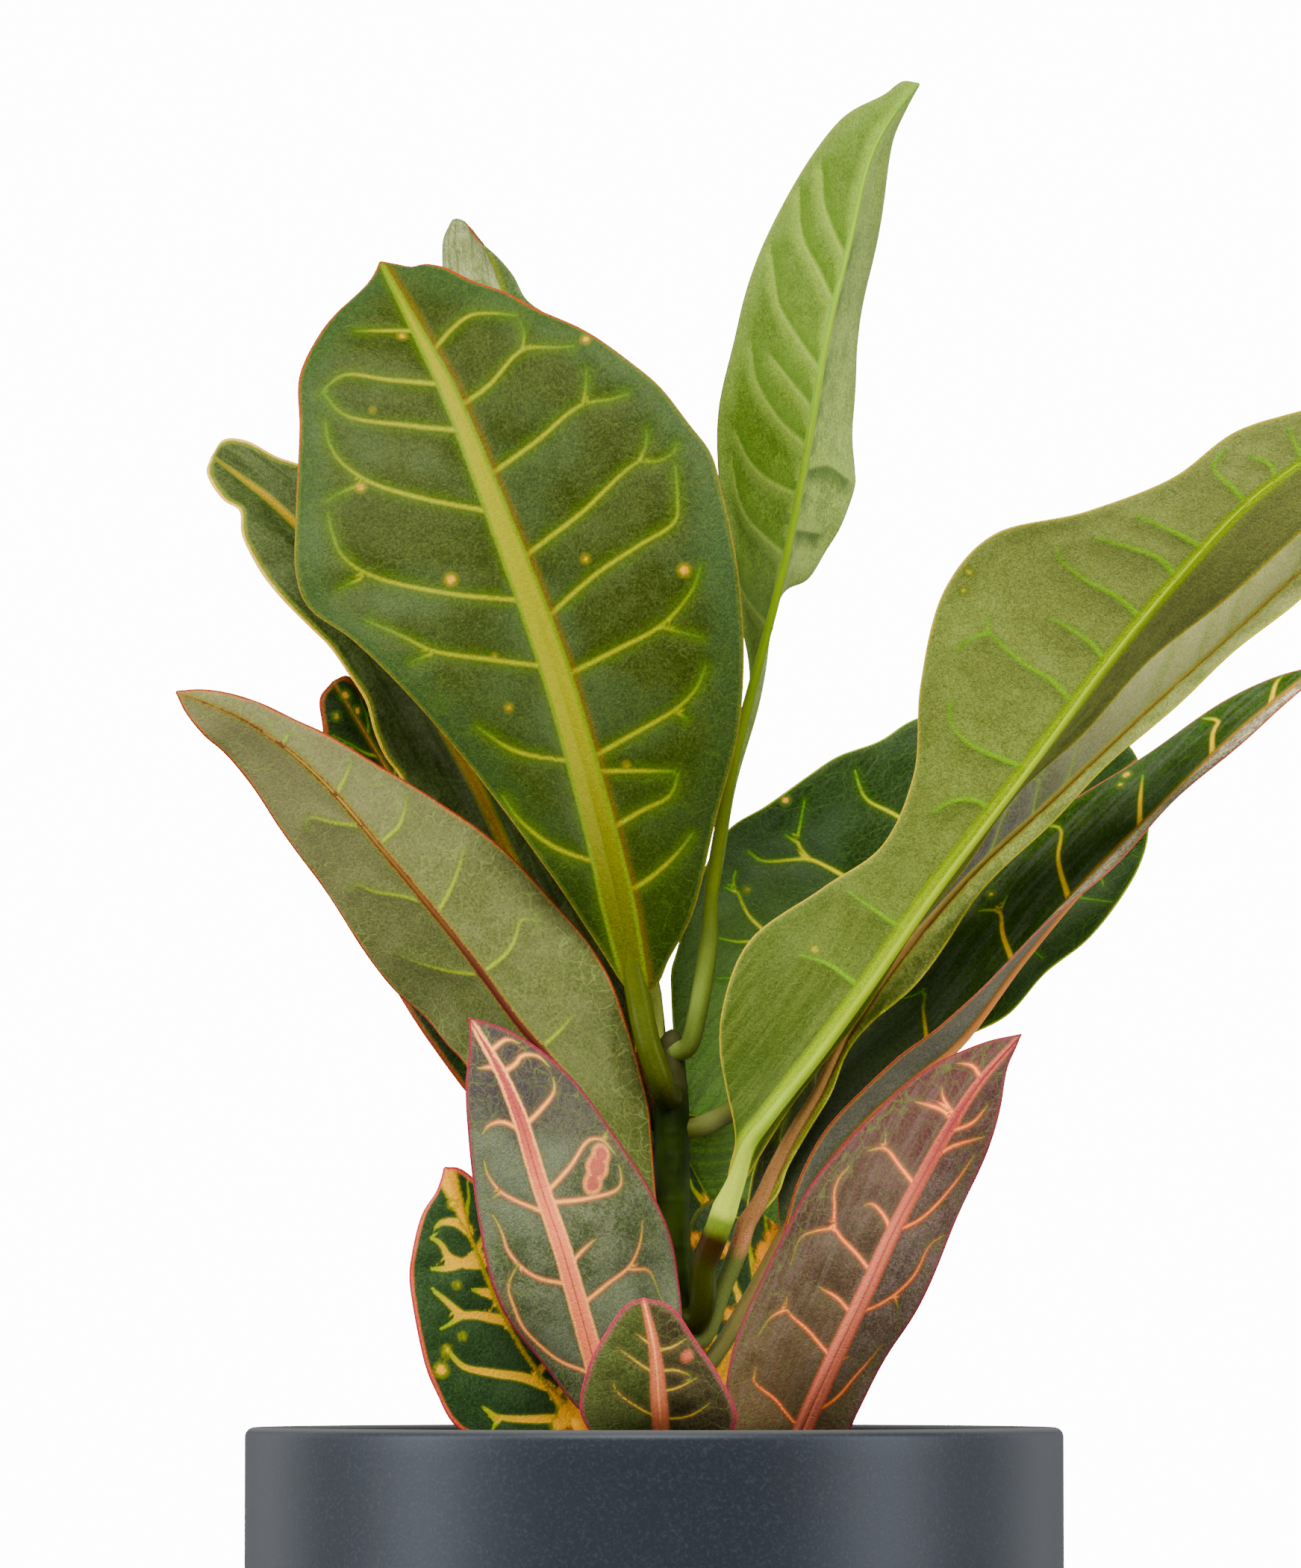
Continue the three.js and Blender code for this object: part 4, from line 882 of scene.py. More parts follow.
def vein_fields(blade, leaf, plan, seed):
    """What each point of a blade knows: its distances to veins, midrib band, margin and spots.

    It also knows its place on the blade laid flat: a is across from the midrib, b is along it.
    """
    draw = np.random.default_rng(seed)
    sheet, s = blade["sheet"], blade["s"]
    drawn = VEINS.get(leaf["name"])
    lines = []
    for side, sign in (("left", -1), ("right", 1)):
        if drawn and drawn[side]:
            lines += drawn_veins(blade, drawn[side], side, plan["girth"])
        elif side not in plan.get("bare", ()):
            lines += ruled_veins(blade, sign, plan, draw)
    points = sheet.reshape(-1, 3)
    vein, near, girth = distance_field(points, sheet_normals(sheet).reshape(-1, 3), lines)
    a = s[None, :] * blade["reach"]
    b = np.broadcast_to((blade["along"] * blade["length"])[:, None], a.shape)
    edge = (1 - np.abs(s))[None, :] * blade["reach"]
    stops, widths = zip(*plan["band"])
    band = np.abs(a) - np.interp(blade["along"], stops, widths)[:, None]
    spot = np.full(len(points), FAR)
    for right, up, radius in plan.get("spots", ()):
        place = nearest_on_sheet(blade, [[right, up]], np.ones(len(s), bool))
        spot = np.minimum(spot, np.linalg.norm(points - place, axis=1) - radius)
    return {"a": a.ravel(), "b": b.ravel(), "vein": vein, "near": near, "girth": girth,
            "edge": edge.ravel(), "band": band.ravel(), "spot": spot}


# %% [markdown]
# ## Thickness and relief
# A leaf is half a millimetre thick. On its upper side the blade swells between the veins like a quilt, and
# on its under side the veins stand out. Both come from the distances just worked out: the sheet is moved
# along its normals by a hill that is high where the nearest vein is far, and the under side gets a small
# ridge where it is close. The colour alone would look painted on, because it would catch no light.

# %% Solid leaves
THICKNESS = 0.5
RIDGE = 0.22
SHAPE = {"quilt": 0.45, "wave": 0.6, "wave_length": 34.0, "crease": 0.0, "sunk": 0.7, "slim": 0.85}


def blade_points(blade, fields, leaf, shape):
    """The front and back points of a blade, both moved by the same quilt and waves.

    The quilt is one minus a bell over the distance to the nearest vein. The waves grow with the square of
    the place from midrib to margin. The under side's ridge is a bell as wide as the vein.
    """
    sheet, s, along = blade["sheet"], blade["s"], blade["along"]
    normals = sheet_normals(sheet)
    upper_sign = 1.0 if leaf["front"] == "upper" else -1.0
    near = np.minimum(fields["near"], np.maximum(fields["band"], 0)).reshape(sheet.shape[:2])
    edge = fields["edge"].reshape(near.shape)
    quilt = shape["quilt"] * (1 - np.exp(-(near / 2.4) ** 2)) * np.clip(edge / 4, 0, 1)
    turns = 2 * math.pi * along[:, None] * blade["length"] / shape["wave_length"]
    wave = shape["wave"] * s[None, :] ** 2 * np.sin(turns + np.where(s[None, :] < 0, leaf["phase"], 0.0))
    wave = wave * np.sin(math.pi * np.clip(along, 0, 1))[:, None]
    middle = sheet + normals * (upper_sign * quilt + wave)[..., None]
    normals = sheet_normals(middle)
    ridge = RIDGE * np.exp(-(fields["near"] / np.maximum(fields["girth"], 0.2)) ** 2).reshape(near.shape)
    crease = shape["crease"] * np.exp(-(fields["a"] / 0.5) ** 2).reshape(near.shape)
    thin = THICKNESS / 2 * np.clip(0.35 + edge / 2.0, 0.35, 1.0)
    front = thin + (ridge if upper_sign < 0 else -crease)
    back = thin + (ridge if upper_sign > 0 else -crease)
    return middle + normals * front[..., None], middle - normals * back[..., None], middle, normals


def blade_faces(rows, columns):
    """Front, back and rim quads of a closed blade."""
    count = rows * columns
    front = grid_faces(rows, columns)
    back = grid_faces(rows, columns, count, flip=True)
    number = np.arange(count).reshape(rows, columns)
    loop = np.concatenate([number[0, :-1], number[:-1, -1], number[-1, :0:-1], number[:0:-1, 0]])
    after = np.roll(loop, -1)
    rim = np.stack([loop, loop + count, after + count, after], axis=1)
    return front, back, rim


# %% [markdown]
# ## Petioles and midribs
# The petiole is a round stalk that leaves the stem level, bends up and runs on under the blade as the
# midrib, ever thinner to the tip. It is one tube: a circle carried along a curve, set a little to the under
# side once it is in the blade.

# %% Stalks
STEM_X = 3.2
STEM_FOOT_RADIUS = 4.2
STEM_NECK_RADIUS = 3.3
STEM_TOP_RADIUS = 2.2
STEM_NECK = 59.0
STEM_TOP = 71.0
SOIL_DROP = 22.0
STALK_SIDES = 18
STALK_STEP = 0.9
SEAT_INSET = 1.6
SEAT_DROP = 0.8
JOINT_REACH = 1.6
WHOLE_CUTS = 400


def stem_radius(up):
    """The stem thins slowly to its neck and faster above it."""
    heights = [-SOIL_DROP, STEM_NECK, STEM_TOP]
    return np.interp(up, heights, [STEM_FOOT_RADIUS, STEM_NECK_RADIUS, STEM_TOP_RADIUS])


def tube(line, radius, sides):
    """The points of a tube: a circle of a given radius carried along a line, turned as little as can be.

    Each frame is the one before, with the part of it that lies along the new direction taken out.
    """
    tangent = unit(np.gradient(line, axis=0))
    side = np.empty_like(tangent)
    side[0] = unit(np.cross(tangent[0], [0.0, 0.0, 1.0]))
    for i in range(1, len(line)):
        carried = side[i - 1] - tangent[i] * np.dot(side[i - 1], tangent[i])
        side[i] = carried / np.linalg.norm(carried)
    other = np.cross(tangent, side)
    angle = np.linspace(0, 2 * math.pi, sides, endpoint=False)
    ring = np.cos(angle)[None, :, None] * side[:, None] + np.sin(angle)[None, :, None] * other[:, None]
    points = line[:, None] + ring * radius[:, None, None]
    return np.vstack([line[:1], points.reshape(-1, 3), line[-1:]])


def stalk_line(leaf, middle, normals, shape):
    """The centre line of petiole and midrib, with its radius and its place.

    The place is below 0 in the petiole, and goes from 0 to 1 along the midrib.
    """
    bearing = math.radians(leaf["bearing"])
    out = np.array([math.cos(bearing), math.sin(bearing), 0.0])
    reach = stem_radius(leaf["height"])
    seat = np.array([STEM_X, 0.0, POT_HEIGHT + leaf["height"] - SEAT_DROP]) + out * (reach - SEAT_INSET)
    joint = seat + out * (SEAT_INSET + JOINT_REACH) + np.array([0.0, 0.0, SEAT_DROP])
    centre = middle.shape[1] // 2
    rib = middle[:, centre]
    knots = [seat, joint, *seen(leaf["via"])] if "via" in leaf else [seat, joint]
    rib_rows = len(rib) - 1
    knots += [rib[0], rib[int(rib_rows * 0.06)], rib[int(rib_rows * 0.12)]]
    knots = np.array(knots)
    whole = smooth_line(knots, WHOLE_CUTS)
    meet = int(np.linalg.norm(whole - rib[0], axis=1).argmin())
    petiole = whole[:meet + 1]
    petiole = smooth_line(petiole[:: max(1, meet // 40)], int(length_of(petiole) / STALK_STEP))[:-1]
    upper_sign = 1.0 if leaf["front"] == "upper" else -1.0
    along = np.linspace(0, 1, len(rib))
    slim = shape["slim"] + (1 - shape["slim"]) * np.exp(-along / 0.05)
    taper = 0.88 * (1 - along) ** 1.1 + 0.12
    thick = leaf["petiole"] * slim * taper * np.clip((1 - along) / 0.06, 0.15, 1)
    sunk = thick * shape["sunk"] * np.clip(along / 0.06, 0, 1)
    rib = rib - upper_sign * normals[:, centre] * sunk[:, None]
    place = np.linspace(-1, 0, len(petiole), endpoint=False)
    swell = leaf["petiole"] * (1.0 + 0.25 * np.exp(-(place + 1) / 0.05))
    return np.vstack([petiole, rib]), np.concatenate([swell, thick]), np.concatenate([place, along])


# %% One leaf's mesh
SIDE_WIDTH = 0.5  # a stalk's side in its flat picture
APART = 37.0  # how far apart two leaves lie in the noise


def put_attribute(mesh, name, values, kind="FLOAT"):
    """Gives each point of a mesh a number, or a vector."""
    made = mesh.attributes.new(name, kind, "POINT")
    key = "value" if kind == "FLOAT" else "vector"
    made.data.foreach_set(key, np.asarray(values, np.float32).ravel())


def make_leaf(leaf, plan, shape, seed):
    """Builds a leaf: a closed blade, and a closed stalk through it, with the fields that paint them."""
    blade = leaf_sheet(leaf)
    fields = vein_fields(blade, leaf, plan, seed)
    front, back, middle, normals = blade_points(blade, fields, leaf, shape)
    rows, columns = middle.shape[:2]
    front_faces, back_faces, rim_faces = blade_faces(rows, columns)
    line, radius, place = stalk_line(leaf, middle, normals, shape)
    stalk = tube(line, radius, STALK_SIDES)
    stalk_faces = solid_faces(len(line), STALK_SIDES, 2 * rows * columns)
    points = np.vstack([front.reshape(-1, 3), back.reshape(-1, 3), stalk]) * MM
    faces = [*front_faces.tolist(), *back_faces.tolist(), *rim_faces.tolist(), *stalk_faces]
    front_slot = 0 if leaf["front"] == "upper" else 1
    slots = np.concatenate([
        np.full(len(front_faces), front_slot), np.full(len(back_faces), 1 - front_slot),
        np.zeros(len(rim_faces)), np.full(len(stalk_faces), 2),
    ])
    made = add_mesh(leaf["name"] + "_fine", points, faces, slots)
    mesh = made.data
    stalk_place = np.concatenate([place[:1], np.repeat(place, STALK_SIDES), place[-1:]])
    count = len(stalk)
    for name in ("vein", "near", "girth", "edge", "band", "spot"):
        put_attribute(mesh, name, np.concatenate([fields[name], fields[name], np.full(count, FAR)]))
    along = np.repeat(blade["along"], columns)
    put_attribute(mesh, "along", np.concatenate([along, along, stalk_place]))
    flat = np.stack([fields["a"], fields["b"], np.full(len(along), seed * APART)], axis=1)
    turned_by = np.tile(np.arange(STALK_SIDES), len(line)) * SIDE_WIDTH
    far_along = np.repeat(np.arange(len(line)) * STALK_STEP, STALK_SIDES)
    round_stalk = np.stack([turned_by, far_along, np.full(len(far_along), seed * APART)], axis=1)
    round_stalk = np.vstack([round_stalk[:1], round_stalk, round_stalk[-1:]])
    put_attribute(mesh, "flat", np.vstack([flat, flat, round_stalk]), "FLOAT_VECTOR")
    return made


# %% [markdown]
# ## How a leaf is painted
# From the midrib outwards a croton leaf shows: a broad pale band, side veins with a warm halo that end
# green, the ground with its fine net, and last the red margin. Each is one mask, a smooth step over a
# distance, and the colour is a chain of mixes. Some mixes are painted light: broad patches of painted
# sheen, painted shade on one side of the veins, and a gain that paints light onto leaves lying in shade.
# The stalk has its own finish, because it is round and changes colour along its length.

# %% Leaf finish
# Some keys paint light into a leaf's colour: broad pale patches of painted sheen, painted shade on one side
# of the veins, and a gain that lightens a leaf lying in shade. Foot, tip, right half and streaks are mostly
# the leaf's own colour, and on some leaves painted light and shade.
LOOK = dict(
    ground=((50, 74, 32), (74, 98, 42)), right=None, ground_size=0.09, tip=((74, 98, 42), 0.0),
    foot=((40, 70, 20), 0.0), rim=((50, 80, 40), 6.0, 0.0), painted_sheen=((98, 122, 104), 0.0),
    speck=((60, 60, 40), 0.0), streak=((60, 60, 40), 0.0), net=((95, 115, 50), 0.3), net_size=0.3,
    net_inside=0.4, glow=((110, 140, 40), 2.0, 0.4), painted_vein_shade=((60, 90, 20), 0.0),
    halo=((190, 140, 60), 0.5, 0.4), vein=((180, 190, 60), (90, 150, 30), 1.0, 1.0),
    band=((185, 190, 56), (165, 140, 56), 1.0), line=((110, 50, 50), 0.0),
    spot=((235, 190, 130), (180, 150, 60)), ragged=0.3, margin=((196, 100, 48), 0.45),
    band_tip=((176, 70, 84), 0.0), red_margin=((196, 84, 44), 0.0), inner=((206, 180, 62), 1.2, 0.7),
    warm=((176, 120, 40), 1.5, 0.0), band_foot=((110, 130, 20), 0.0), soft=0.2,
    fleck=((150, 100, 40), 0.0), rough=0.38, waxy=0.14, painted_light_gain=1.0,
)
WAX_TINT = (1.0, 1.0, 0.55, 1.0)


def leaf_finish(name, look):
    """The finish of one face of a blade, from the distances kept on its points."""
    finish = Finish(name)
    flat = finish.attribute("flat", "Vector")
    across = finish.node("SeparateXYZ", None, {0: flat})
    along = finish.attribute("along")
    near = finish.attribute("near")
    girth = finish.attribute("girth")
    edge = finish.attribute("edge")
    broad = finish.noise(flat, look["ground_size"], 3.0)
    middle = finish.noise(flat, 0.3, 3.0)
    fine = finish.noise(flat, 1.6, 4.0, 0.6)
    grain = finish.noise(flat, 3.2, 2.0, 0.7)
    wobble = middle - 0.5
    ragged = (fine - 0.5) * look["ragged"] * 2.2 + wobble * look["ragged"]

    def toward(colour, key, mask):
        """The colour mixed towards one of the look's own, by a mask and by that colour's share."""
        other, most = look[key]
        return finish.mix(colour, paint(other), mask * most)

    dark, light = (paint(colour) for colour in look["ground"])
    patchy = (broad * 0.35 + middle * 0.25 + fine * 0.4).rise(0.4, 0.6)
    colour = finish.mix(dark, light, patchy)
    # The right half's own colours; on some leaves they hold painted sheen, on others painted shade.
    if look["right"]:
        dark, light = (paint(shade) for shade in look["right"])
        colour = finish.mix(colour, finish.mix(dark, light, patchy), across.rise(-0.2, 0.2))
    rim, width, share = look["rim"]
    colour = finish.mix(colour, paint(rim), (edge + wobble * width).fall(width * 0.2, width) * share)
    # Towards the tip: own colour, and on one leaf partly painted light shining through the blade.
    colour = toward(colour, "tip", along.rise(0.45, 0.85))
    # Broad pale patches of painted sheen: the wax's reflection painted into the colour.
    colour = toward(colour, "painted_sheen", finish.noise(flat, 0.045, 2.0).rise(0.46, 0.66))
    # Towards the foot: own colour on some leaves, painted shade on some, painted light on others.
    colour = toward(colour, "foot", along.fall(0.05, 0.5))
    # Streaks along the blade: own colour on some leaves, painted sheen on the pleats of others.
    if look["streak"][1]:
        drawn_out = finish.stretch(flat, (1.0, 0.07, 1.0))
        colour = toward(colour, "streak", finish.noise(drawn_out, 0.9).rise(0.45, 0.65))
    colour = toward(colour, "speck", grain.rise(0.55, 0.72))

    bend = finish.node("TexNoise", None, {"Vector": flat, "Scale": 0.35}, out=1)
    bent_by = {0: bend, 1: (3.0, 3.0, 0.0), 2: flat}
    bent = finish.node("VectorMath", {"operation": "MULTIPLY_ADD"}, bent_by)
    net = finish.cells(bent, look["net_size"]).fall(0.015, 0.05)
    small_net = finish.cells(bent, look["net_size"] * 3.1).fall(0.03, 0.12)
    outer = edge.fall(2.0, 9.0) * (1 - look["net_inside"]) + look["net_inside"]
    colour = toward(colour, "net", net * outer)
    colour = toward(colour, "net", small_net * 0.35)

    distance = abs(finish.attribute("vein")).most(near - 0.35) + ragged * 0.35
    core, ends, scale, share = look["vein"]
    rim_of_vein = distance - girth * scale
    near_band = finish.attribute("band") + ragged
    glow, width, glow_share = look["glow"]
    closest = (near - girth).least(near_band)
    colour = finish.mix(colour, paint(glow), (closest + wobble * width).fall(0.0, width) * glow_share)
    # Painted shade: one side of each vein painted darker, as if its relief shaded the blade.
    if look["painted_vein_shade"][1]:
        below = finish.attribute("vein").fall(-0.4, 0.2) * (near + wobble * 3.0).fall(0.5, 4.5)
        colour = toward(colour, "painted_vein_shade", below)
    halo, width, halo_share = look["halo"]
    strong = girth.rise(0.2, 0.42)
    beside = rim_of_vein.fall(width * 0.3, width) * strong
    colour = finish.mix(colour, paint(halo), beside * halo_share)
    vein = finish.mix(paint(ends), paint(core), strong)
    colour = finish.mix(colour, vein, rim_of_vein.fall(-look["soft"], look["soft"]) * share)
    inside, border, width = look["band"]
    warm, warm_width, warm_share = look["warm"]
    right_side = across.rise(-0.3, 0.3) * warm_share
    colour = finish.mix(colour, paint(warm), near_band.fall(0.0, warm_width) * right_side)
    colour = finish.mix(colour, paint(border), near_band.fall(-0.1, 0.5))
    fleck, fleck_share = look["fleck"]
    speckled = grain.rise(0.48, 0.62) * fleck_share
    inside = toward(paint(inside), "band_foot", along.fall(0.05, 0.4))
    inside = toward(inside, "band_tip", along.rise(0.5, 0.8))
    inside = finish.mix(inside, paint(fleck), speckled)
    colour = finish.mix(colour, inside, near_band.fall(-width, -width * 0.2))
    if look["line"][1]:
        colour = toward(colour, "line", abs(across).fall(0.08, 0.26))
    spot = finish.attribute("spot") + ragged
    spot_inside, spot_rim = look["spot"]
    colour = finish.mix(colour, paint(spot_rim), spot.fall(0.0, 0.9) * 0.7)
    spot_inside = finish.mix(paint(spot_inside), paint(fleck), speckled)
    colour = finish.mix(colour, spot_inside, spot.fall(-0.5, 0.1))
    inner, width, share = look["inner"]
    near_edge = (edge + wobble * 0.8).fall(width * 0.55, width * 1.1)
    colour = finish.mix(colour, paint(inner), near_edge * share)
    margin, width = look["margin"]
    red, wider = look["red_margin"]
    near_tip = (along + wobble * 0.3).rise(0.62, 0.8)
    margin = finish.mix(paint(margin), paint(red), near_tip * min(1.0, wider * 9))
    width = along.rise(0.62, 0.8) * wider + width
    colour = finish.mix(colour, margin, ((edge + wobble * 0.3) / width).fall(0.6, 1.0))
    # A mottle of noise, times the leaf's gain: painted light that lightens a leaf lying in shade.
    shade = finish.lit(colour, (fine * 0.5 + grain * 1.3 + 0.1) * look["painted_light_gain"])
    relief = fine * 0.3 + net * -0.3 + small_net * -0.25 + grain * 0.1
    normal = finish.bump(relief, 0.3, 0.0004)
    rough = middle * 0.14 + (look["rough"] - 0.07)
    return finish.close(shade, rough, normal, Specular_IOR_Level=look["waxy"], Specular_Tint=WAX_TINT)


def stalk_finish(name, stops, fleck, painted_light_gain):
    """A stalk's colour, given at places: -1 at the stem, 0 where the blade starts, 1 at its tip."""
    finish = Finish(name)
    flat = finish.attribute("flat", "Vector")
    along = finish.attribute("along")
    streak = finish.noise(finish.stretch(flat, (1.0, 0.06, 1.0)), 1.4)
    blotch = finish.noise(flat, 0.2)
    grain = finish.noise(flat, 3.2, 2.0, 0.7)
    place = along + (blotch - 0.5) * 0.08
    colour = paint(stops[0][1])
    for (low, _), (high, after) in zip(stops[:-1], stops[1:]):
        colour = finish.mix(colour, paint(after), place.rise(low, high))
    other, most = fleck
    colour = finish.mix(colour, paint(other), (streak * 0.3 + grain * 0.7).rise(0.49, 0.56) * most)
    # The stalk's mottle, times the leaf's gain: painted light for a stalk lying in shade.
    shade = finish.lit(colour, (streak * 0.5 + blotch * 0.3 + grain * 0.7 + 0.25) * painted_light_gain)
    normal = finish.bump(streak, 0.2, 0.0003)
    rough = streak * 0.1 + 0.36
    return finish.close(shade, rough, normal, Specular_IOR_Level=0.16, Specular_Tint=WAX_TINT)


# %% [markdown]
# ## The leaves' colours
# Young leaves are light green, older ones grow dark, and the oldest at the bottom turn purple with pink
# bands. Each family of looks holds what such leaves share. A leaf that faces the photograph's eye adds what
# is its own. The values were set round after round, while some eighty spots of the picture were
# measured beside the same spots of the photograph.

# %% Families
LOOKS = {
    "olive": dict(
        ground=((70, 86, 26), (98, 112, 44)), rim=((84, 124, 66), 10.0, 0.65),
        net=((106, 136, 44), 0.4), vein=((182, 188, 0), (110, 164, 6), 0.72, 1.0),
        halo=((150, 140, 20), 0.5, 0.5), glow=((106, 138, 10), 2.4, 0.6), margin=((176, 160, 56), 0.35),
        inner=((130, 150, 50), 1.1, 0.6), red_margin=((196, 96, 44), 0.25),
        spot=((222, 198, 30), (170, 164, 20)), soft=0.32,
    ),
    "light_back": dict(
        ground=((112, 144, 18), (146, 172, 56)), net=((150, 172, 76), 0.25),
        vein=((186, 198, 98), (170, 188, 84), 0.8, 0.4), halo=((150, 176, 80), 0.5, 0.0),
        glow=((176, 192, 84), 3.0, 0.6), painted_vein_shade=((88, 134, 4), 0.8), soft=0.4,
        band=((172, 198, 62), (150, 184, 60), 0.6), margin=((168, 170, 80), 0.5),
        inner=((170, 180, 100), 1.0, 0.3),
    ),
    "wide_back": dict(
        ground=((138, 146, 66), (158, 162, 90)), net=((140, 160, 70), 0.3),
        vein=((160, 196, 20), (138, 186, 20), 0.6, 0.85), halo=((150, 170, 70), 0.5, 0.0), soft=0.3,
        glow=((146, 168, 58), 1.6, 0.3), band=((190, 200, 66), (160, 180, 56), 0.6),
        margin=((196, 176, 70), 0.35), inner=((190, 190, 80), 0.9, 0.4),
    ),
    "dark": dict(
        ground=((36, 62, 16), (58, 88, 32)), net=((80, 124, 40), 0.45),
        vein=((206, 200, 10), (116, 180, 10), 0.72, 1.0), soft=0.26, halo=((140, 150, 20), 0.5, 0.5),
        glow=((76, 118, 10), 1.6, 0.5), band=((206, 170, 64), (150, 130, 50), 0.5),
        spot=((220, 190, 70), (110, 150, 40)), margin=((150, 150, 48), 0.5),
        inner=((90, 130, 40), 1.2, 0.4),
    ),
    "grey_back": dict(
        ground=((140, 140, 118), (160, 158, 138)), net=((150, 150, 125), 0.3),
        vein=((176, 168, 110), (160, 160, 110), 0.8, 0.6), halo=((170, 165, 120), 0.5, 0.0),
        band=((190, 170, 90), (170, 150, 90), 0.5), margin=((196, 120, 60), 0.6),
    ),
    "gold_dark": dict(
        ground=((54, 84, 46), (76, 108, 62)), net=((80, 116, 50), 0.4),
        vein=((218, 196, 0), (176, 190, 0), 1.6, 1.0), halo=((150, 160, 50), 0.5, 0.5),
        glow=((76, 110, 30), 1.2, 0.4), ragged=0.7, band=((222, 196, 24), (190, 176, 0), 0.5),
        spot=((222, 198, 30), (170, 174, 0)), margin=((200, 72, 84), 0.6),
        inner=((220, 140, 84), 1.2, 0.7),
    ),
    "pink_veined": dict(
        ground=((82, 96, 50), (112, 116, 78)), net=((132, 150, 72), 0.5), net_inside=0.2,
        vein=((232, 196, 100), (156, 186, 50), 0.52, 1.0), halo=((204, 142, 96), 0.55, 0.6),
        glow=((132, 116, 70), 1.4, 0.4), band=((216, 164, 118), (230, 190, 118), 0.45),
        line=((170, 84, 80), 0.6), fleck=((186, 104, 84), 0.6), spot=((208, 136, 108), (226, 184, 110)),
        margin=((166, 48, 74), 0.6), inner=((150, 92, 86), 1.4, 0.6),
    ),
}
